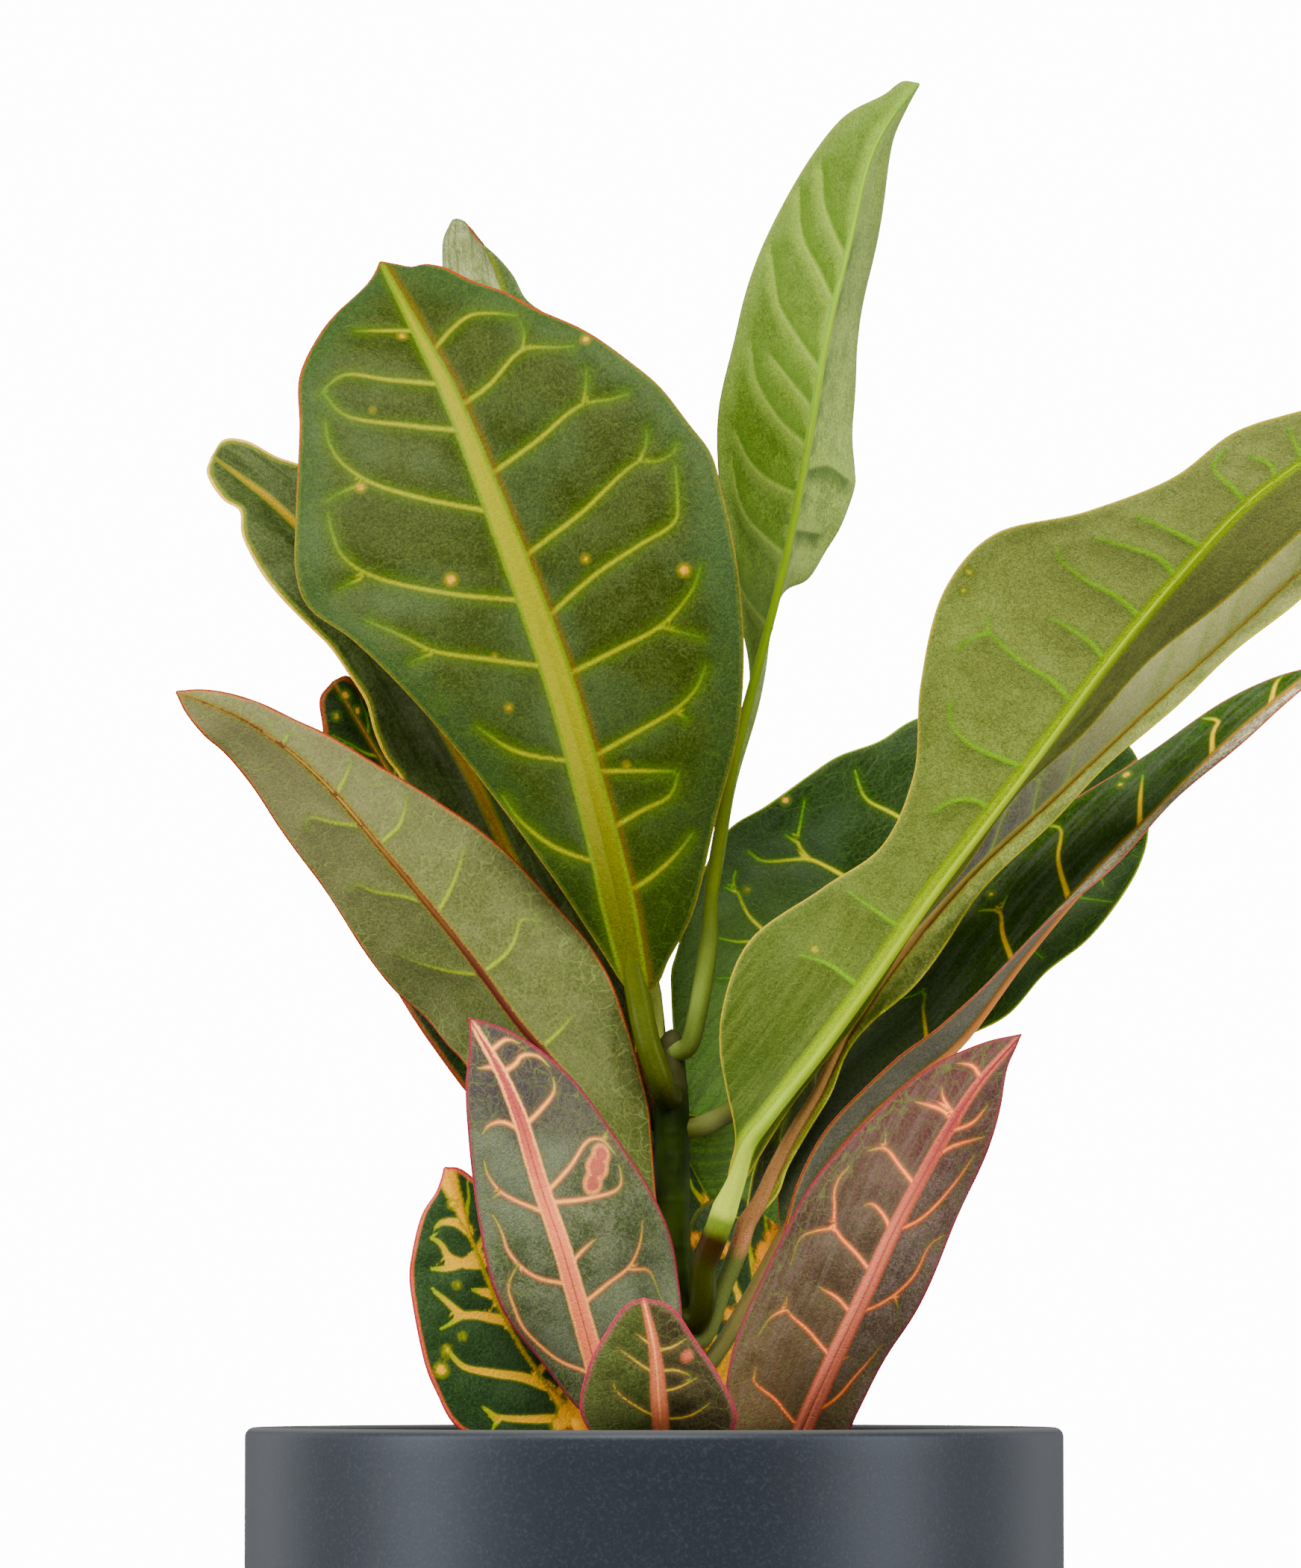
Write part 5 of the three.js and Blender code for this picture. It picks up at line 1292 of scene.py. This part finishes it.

# %% The single leaves
# A leaf's gain is painted light: it lightens every colour of a leaf lying in shade, and of its stalk.
DRESS = {
    "leaf_top_front": dict(
        front="upper", upper="olive", under="wide_back",
        band=[(0, 2.2), (0.12, 3.1), (0.45, 2.7), (0.8, 1.5), (1, 0.3)],
        spots=[(-46.5, 200.5, 0.7), (-54, 172.5, 0.8), (-37.5, 155.5, 1.0), (-12.5, 159.5, 0.6),
               (5.5, 157.5, 1.0), (-12.5, 200, 0.7), (-27, 132, 0.5), (-5, 121.5, 0.5), (-52, 187, 0.3),
               (-29.5, 141.5, 0.3)],
        fleck=((150, 110, 20), 0.25), shape=dict(sunk=0.95),
        # Its broad pale patches are painted sheen, and its dark green foot is partly its own colour and
        # partly painted shade.
        own=dict(painted_sheen=((104, 138, 88), 0.35), foot=((64, 92, 0), 0.9), speck=((116, 128, 60), 0.3),
                 band=((190, 190, 0), (156, 176, 0), 0.8), warm=((164, 118, 20), 2.2, 0.6),
                 band_foot=((112, 130, 0), 0.85), fleck=((150, 110, 20), 0.35)),
        stalk=[(-1, (78, 98, 4)), (-0.4, (96, 116, 4)), (0, (110, 130, 0)), (0.15, (140, 150, 0)),
               (0.4, (194, 192, 0)), (1, (172, 176, 20))],
    ),
    "leaf_top_upright": dict(
        front="under", upper="olive", under="light_back", band=[(0, 1.4), (0.5, 0.9), (1, 0.2)],
        # Its paler right half is painted sheen.
        own=dict(right=((154, 178, 62), (192, 202, 112)), rim=((170, 188, 92), 5.0, 0.6),
                 tip=((112, 142, 60), 0.5)),
        shape=dict(slim=0.7), painted_light_gain=1.2,
        stalk=[(-1, (146, 162, 70)), (0, (154, 170, 66)), (0.1, (164, 178, 20)), (0.35, (156, 180, 12)),
               (1, (176, 196, 40))],
    ),
    "leaf_top_behind": dict(
        front="under", upper="olive", under="wide_back", veins=11, band=[(0, 0.8), (1, 0.3)],
        own=dict(ground=((170, 178, 126), (192, 194, 158)), right=((96, 124, 60), (128, 150, 100)),
                 streak=((124, 146, 78), 0.6), vein=((170, 176, 126), (150, 160, 110), 0.6, 0.3),
                 band=((164, 172, 52), (150, 160, 60), 0.4), margin=((150, 164, 110), 0.35),
                 inner=((160, 172, 120), 0.8, 0.3)),
        shape=dict(slim=0.4), painted_light_gain=1.6,
        stalk=[(-1, (196, 196, 110)), (0, (190, 196, 100)), (0.3, (150, 170, 70)), (1, (168, 176, 52))],
    ),
    "leaf_left_high": dict(
        front="upper", upper="dark", under="wide_back", veins=12,
        band=[(0, 1.2), (0.5, 1.3), (0.9, 0.9), (1, 0.3)],
        own=dict(ground=((76, 92, 38), (104, 120, 60)), streak=((56, 70, 26), 0.7),
                 net=((104, 122, 80), 0.3), vein=((116, 138, 70), (100, 124, 60), 0.6, 0.5),
                 halo=((90, 110, 60), 0.5, 0.0), glow=((80, 104, 50), 1.6, 0.2),
                 band=((186, 160, 30), (150, 150, 40), 0.5), margin=((214, 196, 60), 0.7),
                 inner=((160, 170, 50), 1.5, 0.6)),
        painted_light_gain=1.42,
        stalk=[(-1, (100, 112, 50)), (0, (150, 150, 40)), (0.2, (200, 172, 50)), (1, (190, 164, 50))],
    ),
    "leaf_left_inner": dict(
        front="upper", upper="dark", under="grey_back", veins=9, band=[(0, 1.2), (1, 0.3)],
        spots=[(-57, 134.5, 0.8), (-54.5, 131.5, 0.7), (-56, 124, 0.8), (-58.5, 130.5, 0.6)],
        own=dict(ground=((44, 62, 36), (66, 84, 50)), margin=((186, 74, 48), 0.6),
                 inner=((200, 140, 60), 1.2, 0.5)),
        shape=dict(slim=0.5), painted_light_gain=1.3,
        stalk=[(-1, (90, 104, 40)), (0, (150, 150, 50)), (1, (190, 160, 60))],
    ),
    "leaf_left_front": dict(
        front="under", upper="dark", under="wide_back", band=[(0, 1.1), (0.5, 0.8), (1, 0.25)],
        own=dict(ground=((134, 144, 72), (158, 162, 104)), tip=((180, 174, 134), 0.7),
                 speck=((112, 92, 62), 0.75), foot=((112, 126, 44), 0.6), net=((172, 184, 110), 0.6),
                 vein=((196, 204, 40), (160, 180, 70), 0.55, 0.85), glow=((146, 162, 70), 1.4, 0.35),
                 band=((150, 100, 56), (176, 160, 76), 0.4), margin=((190, 84, 50), 0.4),
                 inner=((206, 170, 80), 0.9, 0.5)),
        shape=dict(slim=0.36),
        stalk=[(-1, (100, 96, 50)), (0, (112, 44, 34)), (0.4, (130, 50, 38)), (0.6, (170, 120, 50)),
               (0.75, (196, 176, 70)), (1, (200, 186, 90))],
    ),
    "leaf_low_left_front": dict(
        front="upper", upper="pink_veined", under="grey_back",
        band=[(0, 2.3), (0.3, 1.8), (0.75, 1.3), (1, 0.3)],
        spots=[(-10.8, 47.5, 1.9), (-11.6, 44.5, 1.6), (-10, 50, 1.5)],
        shape=dict(sunk=1.15, crease=0.25), painted_light_gain=1.6,
        # Its broad pale patches are painted sheen.
        own=dict(ground=((80, 94, 56), (132, 134, 104)), tip=((84, 64, 76), 0.9),
                 painted_sheen=((142, 150, 124), 0.6), band_tip=((180, 70, 88), 0.85),
                 band=((222, 170, 124), (232, 192, 122), 0.45), spot=((196, 122, 98), (226, 184, 110))),
        fleck=((190, 96, 84), 0.6),
        stalk=[(-1, (150, 110, 70)), (0, (226, 190, 128)), (0.45, (222, 172, 128)),
               (0.7, (196, 108, 100)), (1, (166, 56, 76))],
    ),
    "leaf_low_front": dict(
        front="upper", upper="pink_veined", under="grey_back", band=[(0, 1.8), (0.5, 1.3), (1, 0.3)],
        spots=[(6, 13, 0.9)], shape=dict(sunk=1.1, crease=0.2), fleck=((180, 84, 60), 0.6),
        own=dict(ground=((78, 90, 42), (98, 106, 56)), right=((66, 58, 40), (86, 76, 52)),
                 net=((120, 130, 60), 0.3), vein=((196, 184, 60), (140, 160, 30), 0.5, 1.0),
                 halo=((160, 110, 60), 0.5, 0.4), band=((208, 152, 106), (196, 132, 84), 0.5),
                 line=((226, 184, 120), 0.8), spot=((196, 116, 90), (190, 120, 80))),
        painted_light_gain=3.1,
        stalk=[(-1, (190, 150, 100)), (0, (220, 170, 110)), (0.4, (200, 150, 90)), (1, (180, 116, 78))],
    ),
    "leaf_low_right_front": dict(
        front="upper", upper="pink_veined", under="grey_back",
        band=[(0, 2.2), (0.4, 1.6), (0.8, 0.9), (1, 0.3)], shape=dict(sunk=1.1, crease=0.3),
        fleck=((178, 82, 66), 0.6),
        # Its paler right half and grey streaks are partly painted sheen, its broad pale patches are painted
        # sheen, and its lighter foot is painted light.
        own=dict(ground=((92, 62, 52), (114, 80, 70)), right=((108, 84, 74), (152, 130, 120)),
                 foot=((144, 122, 78), 0.7), band_tip=((172, 62, 76), 0.85),
                 streak=((150, 132, 122), 0.25), tip=((112, 50, 62), 0.7), net=((116, 132, 60), 0.6),
                 vein=((236, 180, 80), (160, 160, 50), 0.5, 1.0), halo=((196, 100, 70), 0.6, 0.75),
                 band=((212, 156, 124), (200, 118, 90), 0.45), painted_sheen=((150, 128, 116), 0.22)),
        painted_light_gain=1.5,
        stalk=[(-1, (150, 110, 70)), (0, (222, 172, 124)), (0.5, (206, 140, 108)), (0.8, (176, 76, 80)),
               (1, (150, 46, 62))],
    ),
    "leaf_low_left": dict(
        front="upper", upper="gold_dark", under="pink_veined", veins=6,
        band=[(0, 2.0), (0.2, 0.2), (0.75, 0.2), (0.9, 1.4), (1, 2.5)],
        spots=[(-39, 10.5, 1.1), (-38, 14, 0.7), (-37, 41, 0.7), (-36, 26, 0.5), (-35, 16.5, 0.5),
               (-15.6, 2.5, 2.4), (-14.6, 6, 2.0), (-17.5, 0.5, 1.5)],
        shape=dict(sunk=1.1, slim=0.4), painted_light_gain=1.35,
        stalk=[(-1, (150, 130, 40)), (0, (220, 192, 0)), (0.12, (216, 188, 0)), (0.2, (66, 98, 46)),
               (0.8, (70, 102, 46)), (0.9, (220, 192, 20)), (1, (222, 184, 60))],
    ),
    "leaf_low_right": dict(
        front="upper", upper="gold_dark", under="pink_veined", veins=6, band=[(0, 1.6), (1, 0.6)],
        spots=[(22.5, 37.5, 1.0), (22, 35, 1.7), (20.8, 32, 2.2), (20.2, 29, 1.8), (20.8, 26.4, 1.4),
               (19, 24, 0.9), (13, 32.5, 1.2), (11.4, 33, 0.9), (7.5, 34.5, 1.1), (11, 13.5, 1.6),
               (13, 15.5, 1.2), (14, 20.5, 1.3), (15.6, 18.6, 1.0), (17, 16.5, 1.1)],
        own=dict(spot=((220, 182, 0), (190, 156, 0)), margin=((150, 150, 50), 0.5),
                 inner=((150, 150, 50), 1.2, 0.4), ragged=1.5),
        shape=dict(slim=0.5), painted_light_gain=1.3,
        stalk=[(-1, (100, 110, 50)), (0, (170, 160, 60)), (1, (214, 170, 60))],
    ),
    "leaf_right_front": dict(
        front="under", upper="olive", under="wide_back", bare=("right",),
        band=[(0, 2.2), (0.15, 2.4), (0.5, 1.8), (0.85, 0.8), (1, 0.3)],
        spots=[(58, 157, 0.7), (57, 153.5, 0.6), (29.5, 87.5, 0.9)],
        # Its darker right half, folded away from the light, is partly painted shade.
        own=dict(ground=((150, 162, 68), (168, 180, 92)), right=((104, 112, 34), (138, 144, 58)),
                 foot=((86, 120, 0), 0.97), margin=((206, 196, 50), 0.4), tip=((172, 174, 112), 0.5),
                 streak=((164, 174, 78), 0.3), spot=((200, 200, 60), (150, 160, 40)),
                 vein=((164, 198, 0), (140, 190, 0), 0.75, 1.0),
                 band=((186, 200, 20), (166, 186, 20), 0.6)),
        shape=dict(slim=0.42),
        stalk=[(-1, (66, 76, 10)), (-0.5, (84, 92, 16)), (-0.34, (84, 60, 16)), (-0.24, (84, 50, 20)),
               (-0.12, (166, 184, 56)), (0.0, (218, 228, 112)), (0.1, (194, 208, 62)),
               (0.25, (192, 204, 20)), (1, (192, 204, 20))],
    ),
    "leaf_right_middle": dict(
        front="under", upper="dark", under="wide_back", veins=12, band=[(0, 1.3), (0.6, 1.0), (1, 0.3)],
        # Its grey-violet far half and darker foot are partly painted shade; its pale right half and tip are
        # partly painted light shining through the blade.
        own=dict(ground=((84, 80, 76), (122, 114, 108)), right=((170, 180, 92), (200, 204, 130)),
                 foot=((64, 76, 20), 0.95), tip=((198, 198, 146), 0.75),
                 band=((170, 150, 70), (176, 180, 60), 0.3),
                 vein=((180, 186, 96), (170, 180, 90), 0.6, 0.6), margin=((206, 206, 60), 0.5)),
        painted_light_gain=1.25, fleck=((128, 96, 52), 0.6), shape=dict(slim=0.6),
        stalk=[(-1, (132, 150, 74)), (-0.3, (138, 156, 78)), (-0.12, (204, 166, 118)),
               (0.3, (196, 170, 96)), (0.45, (176, 164, 60)), (1, (196, 180, 80))],
    ),
    "leaf_right_folded": dict(
        front="upper", upper="dark", under="grey_back", band=[(0, 0.8), (1, 0.4)], bare=("right",),
        spots=[(87, 119.5, 0.8), (86, 117.5, 0.6), (62, 97.5, 0.6)],
        # Its broad pale patches and streaks are painted sheen, and its lighter foot is painted light.
        own=dict(ground=((44, 74, 6), (66, 98, 24)), painted_sheen=((96, 118, 80), 0.35),
                 vein=((216, 200, 0), (120, 184, 0), 0.8, 1.0), halo=((180, 160, 30), 0.4, 0.4),
                 right=((186, 178, 162), (226, 218, 200)), foot=((124, 136, 98), 0.8),
                 streak=((118, 124, 102), 0.5), band=((206, 170, 64), (160, 140, 50), 0.4),
                 margin=((196, 110, 86), 0.4)),
        painted_light_gain=1.8,
        stalk=[(-1, (110, 116, 60)), (0, (150, 130, 70)), (0.3, (196, 150, 80)), (1, (190, 140, 70))],
    ),
    "leaf_right_behind": dict(
        front="upper", upper="dark", under="wide_back", veins=9, band=[(0, 1.0), (1, 0.3)],
        spots=[(17, 98.5, 0.7), (50, 111, 0.6), (24, 115, 0.8)],
        # Its broad pale patches and lighter streaks are painted sheen, and its light green foot is painted
        # light.
        own=dict(ground=((36, 62, 22), (54, 84, 36)), painted_sheen=((92, 116, 86), 0.45),
                 streak=((74, 102, 62), 0.4), right=((38, 62, 14), (52, 78, 22)),
                 foot=((148, 182, 84), 0.75), margin=((170, 180, 50), 0.4)),
        painted_light_gain=1.5, shape=dict(slim=0.5),
        stalk=[(-1, (84, 90, 22)), (-0.4, (146, 150, 80)), (0, (150, 156, 70)), (1, (180, 190, 60))],
    ),
    "leaf_back_top": dict(
        front="upper", upper="olive", under="wide_back", veins=10, band=[(0, 2.0), (1, 0.4)],
        stalk=[(-1, (90, 112, 30)), (0, (170, 180, 50)), (1, (160, 170, 50))],
    ),
    "leaf_back_right": dict(
        front="upper", upper="dark", under="wide_back", veins=8, band=[(0, 1.4), (1, 0.4)],
        stalk=[(-1, (100, 110, 50)), (0, (190, 160, 60)), (1, (190, 170, 60))],
    ),
    "leaf_back_left": dict(
        front="upper", upper="dark", under="wide_back", veins=8, band=[(0, 1.4), (1, 0.4)],
        stalk=[(-1, (100, 110, 50)), (0, (190, 160, 60)), (1, (190, 170, 60))],
    ),
    "leaf_back_low_right": dict(
        front="upper", upper="gold_dark", under="pink_veined", veins=7, band=[(0, 2.0), (1, 0.8)],
        stalk=[(-1, (150, 110, 60)), (0, (214, 150, 80)), (1, (200, 120, 70))],
    ),
    "leaf_back_low_left": dict(
        front="upper", upper="pink_veined", under="grey_back", veins=7, band=[(0, 2.0), (1, 0.6)],
        stalk=[(-1, (150, 110, 60)), (0, (206, 136, 108)), (1, (180, 90, 90))],
    ),
}


# %% Leaves
def faces_of(leaf, dress):
    """The finishes of the upper and the under face: the face in front takes what is the leaf's own."""
    made = []
    for face in ("upper", "under"):
        # The front face also takes the leaf's gain, which is painted light.
        own = {"painted_light_gain": dress.get("painted_light_gain", 1.0), **dress.get("own", {})} if face == dress["front"] else {}
        made.append(leaf_finish(f"{leaf['name']}_{face}", {**LOOK, **LOOKS[dress[face]], **own}))
    return made


NO_FLECK = ((120, 90, 40), 0.0)
FIRST_PHASE = 1.3
faces_made = 0
for seed, leaf in enumerate(LEAVES, start=1):
    dress = DRESS[leaf["name"]]
    leaf["front"] = dress["front"]
    leaf["phase"] = FIRST_PHASE + seed
    plan = {**PLAN, **{key: dress[key] for key in ("veins", "band", "spots", "bare") if key in dress}}
    leaf_piece = make_leaf(leaf, plan, {**SHAPE, **dress.get("shape", {})}, seed)
    # The stalk takes the leaf's gain too, painted light.
    fleck, painted_light_gain = dress.get("fleck", NO_FLECK), dress.get("painted_light_gain", 1.0)
    stalk = stalk_finish(leaf["name"] + "_stalk", dress["stalk"], fleck, painted_light_gain)
    for material in (*faces_of(leaf, dress), stalk):
        leaf_piece.data.materials.append(material)
    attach(leaf_piece, "root")
    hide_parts(leaf["name"])
    faces_made += len(leaf_piece.data.polygons)
print("leaf faces:", faces_made)

# %% [markdown]
# ## Pot
# The pot is a slip-cast cylinder with a matt slate glaze. It is one profile turned round its axis, with a
# thin rounded lip. A cylinder with a bevel would do as well, but the profile also gives the inside.

# %% Pot
POT_RADIUS = 75.0
POT_WALL = 4.5
POT_FLOOR = 6.0
POT_LIP = 1.8
POT_FOOT = 2.5
TURN_SIDES = 240


def arc(x, z, radius, start, stop, steps=8):
    """Points on a part of a circle, angles in degrees."""
    angle = np.radians(np.linspace(start, stop, steps))
    return np.stack([x + radius * np.cos(angle), z + radius * np.sin(angle)], axis=1)


def turned(name, profile, sides, centre=(0.0, 0.0)):
    """A closed solid: a profile from the axis to the axis, turned round it."""
    angle = np.linspace(0, 2 * math.pi, sides, endpoint=False)
    inner = profile[1:-1]
    x = inner[:, 0][:, None] * np.cos(angle) + centre[0]
    y = inner[:, 0][:, None] * np.sin(angle) + centre[1]
    z = np.broadcast_to(inner[:, 1][:, None], x.shape)
    ring = np.stack([x, y, z], axis=-1).reshape(-1, 3)
    points = np.vstack([[[*centre, profile[0, 1]]], ring, [[*centre, profile[-1, 1]]]])
    return add_mesh(name, points * MM, solid_faces(len(inner), sides))


def straight(start, stop, steps):
    """Points on a straight line without its ends."""
    u = np.linspace(0, 1, steps + 2)[1:-1, None]
    return np.array(start) * (1 - u) + np.array(stop) * u


inner_radius = POT_RADIUS - POT_WALL
pot_profile = np.vstack([
    [[0, 0]], straight((0, 0), (POT_RADIUS - POT_FOOT, 0), 6),
    arc(POT_RADIUS - POT_FOOT, POT_FOOT, POT_FOOT, -90, 0),
    straight((POT_RADIUS, POT_FOOT), (POT_RADIUS, POT_HEIGHT - POT_LIP), 40),
    arc(POT_RADIUS - POT_LIP, POT_HEIGHT - POT_LIP, POT_LIP, 0, 90),
    arc(inner_radius + POT_LIP, POT_HEIGHT - POT_LIP, POT_LIP, 90, 180),
    straight((inner_radius, POT_HEIGHT - POT_LIP), (inner_radius, POT_FLOOR), 20),
    [[inner_radius, POT_FLOOR]], straight((inner_radius, POT_FLOOR), (0, POT_FLOOR), 6), [[0, POT_FLOOR]],
])
pot = turned("pot_fine", pot_profile, TURN_SIDES)

glaze = Finish("slate_glaze")
inside_pot = glaze.place()
grain = glaze.noise(inside_pot, 1500.0, 3.0, 0.8)
cloud = glaze.noise(inside_pot, 18.0, 3.0)
slate = glaze.mix(paint((22, 31, 40)), paint((31, 39, 50)), cloud.rise(0.3, 0.7))
slate = glaze.mix(slate, paint((70, 80, 95)), grain.rise(0.48, 0.72) * 0.65)
# A painted highlight: the top of the lip painted pale, where the light catches it.
painted_lip_highlight = glaze.up(inside_pot).rise((POT_HEIGHT - 1.0) * MM, (POT_HEIGHT - 0.1) * MM)
slate = glaze.mix(slate, paint((140, 140, 136)), painted_lip_highlight * 0.7)
pot.data.materials.append(
    glaze.close(slate, grain * 0.12 + 0.42, glaze.bump(grain, 0.2, 0.0001), Specular_IOR_Level=0.54,
                Specular_Tint=(0.84, 0.9, 1.0, 1.0)))
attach(pot, "root")
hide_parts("pot")
print("pot faces:", len(pot.data.polygons))

# %% [markdown]
# ## Soil
# Potting soil is a crust of dark crumbs. A disc of points gets its height from a few layers of random
# hills, and crumbs of bark and peat are strewn on top. The photograph hides the soil behind the lip, so its
# look is the usual one.

# %% Soil
SOIL_CROWN = 2.5
CLEARANCE = 0.3
SOIL_RINGS = 78
SOIL_SIDES = 250
CRUMBS = 420

soil_draw = np.random.default_rng(77)
soil_edge = inner_radius - CLEARANCE
soil_level = POT_HEIGHT - SOIL_DROP


def soil_height(x, y):
    """The soil's surface: a low mound with ripples of several lengths."""
    radius = np.hypot(x, y) / soil_edge
    height = soil_level - SOIL_CROWN * np.clip(radius, 0, 1) ** 2
    waves = np.random.default_rng(5)
    for size, tall in ((26.0, 0.8), (11.0, 0.7), (5.0, 0.5), (2.6, 0.35)):
        for _ in range(5):
            angle = waves.uniform(0, math.pi)
            phase = waves.uniform(0, 2 * math.pi)
            way = x * math.cos(angle) + y * math.sin(angle)
            height = height + tall * 0.35 * np.sin(way * 2 * math.pi / size + phase)
    return height


ring_radius = np.linspace(STEM_FOOT_RADIUS * 0.6, soil_edge, SOIL_RINGS)
ring_angle = np.linspace(0, 2 * math.pi, SOIL_SIDES, endpoint=False)
soil_x = ring_radius[:, None] * np.cos(ring_angle)
soil_y = ring_radius[:, None] * np.sin(ring_angle)
soil_x = soil_x + STEM_X * (1 - ring_radius[:, None] / soil_edge)
soil_z = soil_height(soil_x, soil_y) + soil_draw.uniform(-0.35, 0.35, soil_x.shape)
top_rings = np.stack([soil_x, soil_y, soil_z], axis=-1)
floor_inner, floor_outer = top_rings[:1].copy(), top_rings[-1:].copy()
for ring in (floor_inner, floor_outer):
    ring[..., 2] = POT_FLOOR + CLEARANCE
soil_rings = np.concatenate([floor_inner, top_rings, floor_outer]).reshape(-1, 3)
soil_faces = grid_faces(SOIL_RINGS + 2, SOIL_SIDES, ring=True, flip=True)
closing = np.arange(SOIL_SIDES)
closing_after = (closing + 1) % SOIL_SIDES
last_ring = (SOIL_RINGS + 1) * SOIL_SIDES
floor_faces = np.stack([closing, closing_after, last_ring + closing_after, last_ring + closing], axis=1)


def crumb_mesh(count):
    """Many rough crumbs: each an octahedron cut once more, its points pushed in or out at random."""
    corners = np.array([[1, 0, 0], [-1, 0, 0], [0, 1, 0], [0, -1, 0], [0, 0, 1], [0, 0, -1]], float)
    sides_of = [[0, 2, 4], [2, 1, 4], [1, 3, 4], [3, 0, 4], [2, 0, 5], [1, 2, 5], [3, 1, 5], [0, 3, 5]]
    points, faces = [*corners], []
    seen_edges = {}
    for a, b, c in sides_of:
        mids = []
        for edge in ((a, b), (b, c), (c, a)):
            key = tuple(sorted(edge))
            if key not in seen_edges:
                seen_edges[key] = len(points)
                middle = points[edge[0]] + points[edge[1]]
                points.append(middle / np.linalg.norm(middle))
            mids.append(seen_edges[key])
        faces += [[a, mids[0], mids[2]], [b, mids[1], mids[0]], [c, mids[2], mids[1]], mids]
    points, faces = np.array(points), np.array(faces)
    angle = soil_draw.uniform(0, 2 * math.pi, count)
    away = soil_edge * 0.97 * np.sqrt(soil_draw.uniform(0.012, 1, count)) - 1.5
    x, y = away * np.cos(angle) + STEM_X * 0.5, away * np.sin(angle)
    size = 0.7 + 2.1 * soil_draw.uniform(0, 1, count) ** 3
    stretch = size[:, None] * soil_draw.uniform(0.45, 1.1, (count, 3))
    rough = 1 + soil_draw.uniform(-0.28, 0.28, (count, len(points), 1))
    cloud_points = points[None] * stretch[:, None] * rough
    turn = soil_draw.uniform(0, 2 * math.pi, count)
    cos, sin = np.cos(turn)[:, None], np.sin(turn)[:, None]
    turned_x = cloud_points[..., 0] * cos - cloud_points[..., 1] * sin
    turned_y = cloud_points[..., 0] * sin + cloud_points[..., 1] * cos
    centre = np.stack([x, y, soil_height(x, y) + stretch[:, 2] * 0.25], axis=1)
    placed = np.stack([turned_x, turned_y, cloud_points[..., 2]], axis=-1) + centre[:, None]
    numbers = faces[None] + (np.arange(count) * len(points))[:, None, None]
    return placed.reshape(-1, 3), numbers.reshape(-1, 3)


crumb_points, crumb_faces = crumb_mesh(CRUMBS)
soil_points = np.vstack([soil_rings, crumb_points]) * MM
all_faces = [*soil_faces.tolist(), *floor_faces.tolist(), *(crumb_faces + len(soil_rings)).tolist()]
soil = add_mesh("soil_fine", soil_points, all_faces, smooth=False)
peat = Finish("potting_soil")
inside_soil = peat.place()
crumb = peat.noise(inside_soil, 420.0, 4.0, 0.7)
clod = peat.noise(inside_soil, 90.0, 3.0)
brown = peat.mix(paint((34, 25, 19)), paint((74, 56, 42)), clod.rise(0.35, 0.7))
brown = peat.mix(brown, paint((104, 82, 60)), crumb.rise(0.58, 0.8) * 0.6)
soil.data.materials.append(
    peat.close(brown, 0.95, peat.bump(crumb, 0.8, 0.0006), Specular_IOR_Level=0.2))
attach(soil, "root")
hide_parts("soil")
print("soil faces:", len(soil.data.polygons))

# %% [markdown]
# ## Stem
# A young croton's stem is green-grey, ringed by the scars of fallen leaves, and ends in a bud. It is a
# circle whose size changes with height, turned round an upright axis.

# %% Stem
STEM_SIDES = 40
STEM_DEPTH = 30.0
BUD_HEIGHT = 2.0
SCAR_SPACING = 7.0
SCAR_HEIGHT = 0.14
SCAR_WIDTH = 0.7
STEM_STEP = 0.5
BROWN_FROM = 0.196  # metres
BROWN_TO = 0.206

stem_up = np.arange(-SOIL_DROP - STEM_DEPTH, STEM_TOP + BUD_HEIGHT, STEM_STEP)
girth_up = stem_radius(stem_up)
scar_place = (stem_up + SOIL_DROP) / SCAR_SPACING + 0.22 * np.sin(stem_up * 0.6)
from_scar = (scar_place - np.round(scar_place)) * SCAR_SPACING
scar = SCAR_HEIGHT * np.exp(-(from_scar / SCAR_WIDTH) ** 2)
bud = np.clip((STEM_TOP + BUD_HEIGHT - stem_up) / BUD_HEIGHT, 0, 1) ** 0.55
stem_girth = np.where(stem_up < -SOIL_DROP, STEM_FOOT_RADIUS - 0.4, girth_up - 0.1 + scar)
stem_girth = stem_girth * bud
stem_profile = np.vstack([
    [[0, POT_HEIGHT + stem_up[0]]], np.stack([stem_girth, POT_HEIGHT + stem_up], axis=1),
    [[0, POT_HEIGHT + STEM_TOP + BUD_HEIGHT]],
])
stem = turned("stem_fine", stem_profile, STEM_SIDES, (STEM_X, 0.0))
bark = Finish("green_bark")
inside_stem = bark.place()
stretched = bark.stretch(inside_stem, (1.0, 1.0, 0.12))
streaks = bark.noise(stretched, 900.0, 4.0, 0.6)
patches = bark.noise(inside_stem, 140.0, 3.0)
green = bark.mix(paint((38, 58, 4)), paint((62, 86, 24)), patches.rise(0.35, 0.65))
green = bark.mix(green, paint((78, 84, 30)), streaks.rise(0.5, 0.75) * 0.5)
near_top = bark.up(inside_stem).rise(BROWN_FROM, BROWN_TO)
green = bark.mix(green, paint((104, 100, 54)), near_top * patches.rise(0.35, 0.6))
stem.data.materials.append(
    bark.close(green, streaks * 0.2 + 0.5, bark.bump(streaks, 0.4, 0.0004), Specular_IOR_Level=0.14,
               Specular_Tint=WAX_TINT))
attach(stem, "root")
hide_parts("stem")
print("stem faces:", len(stem.data.polygons))
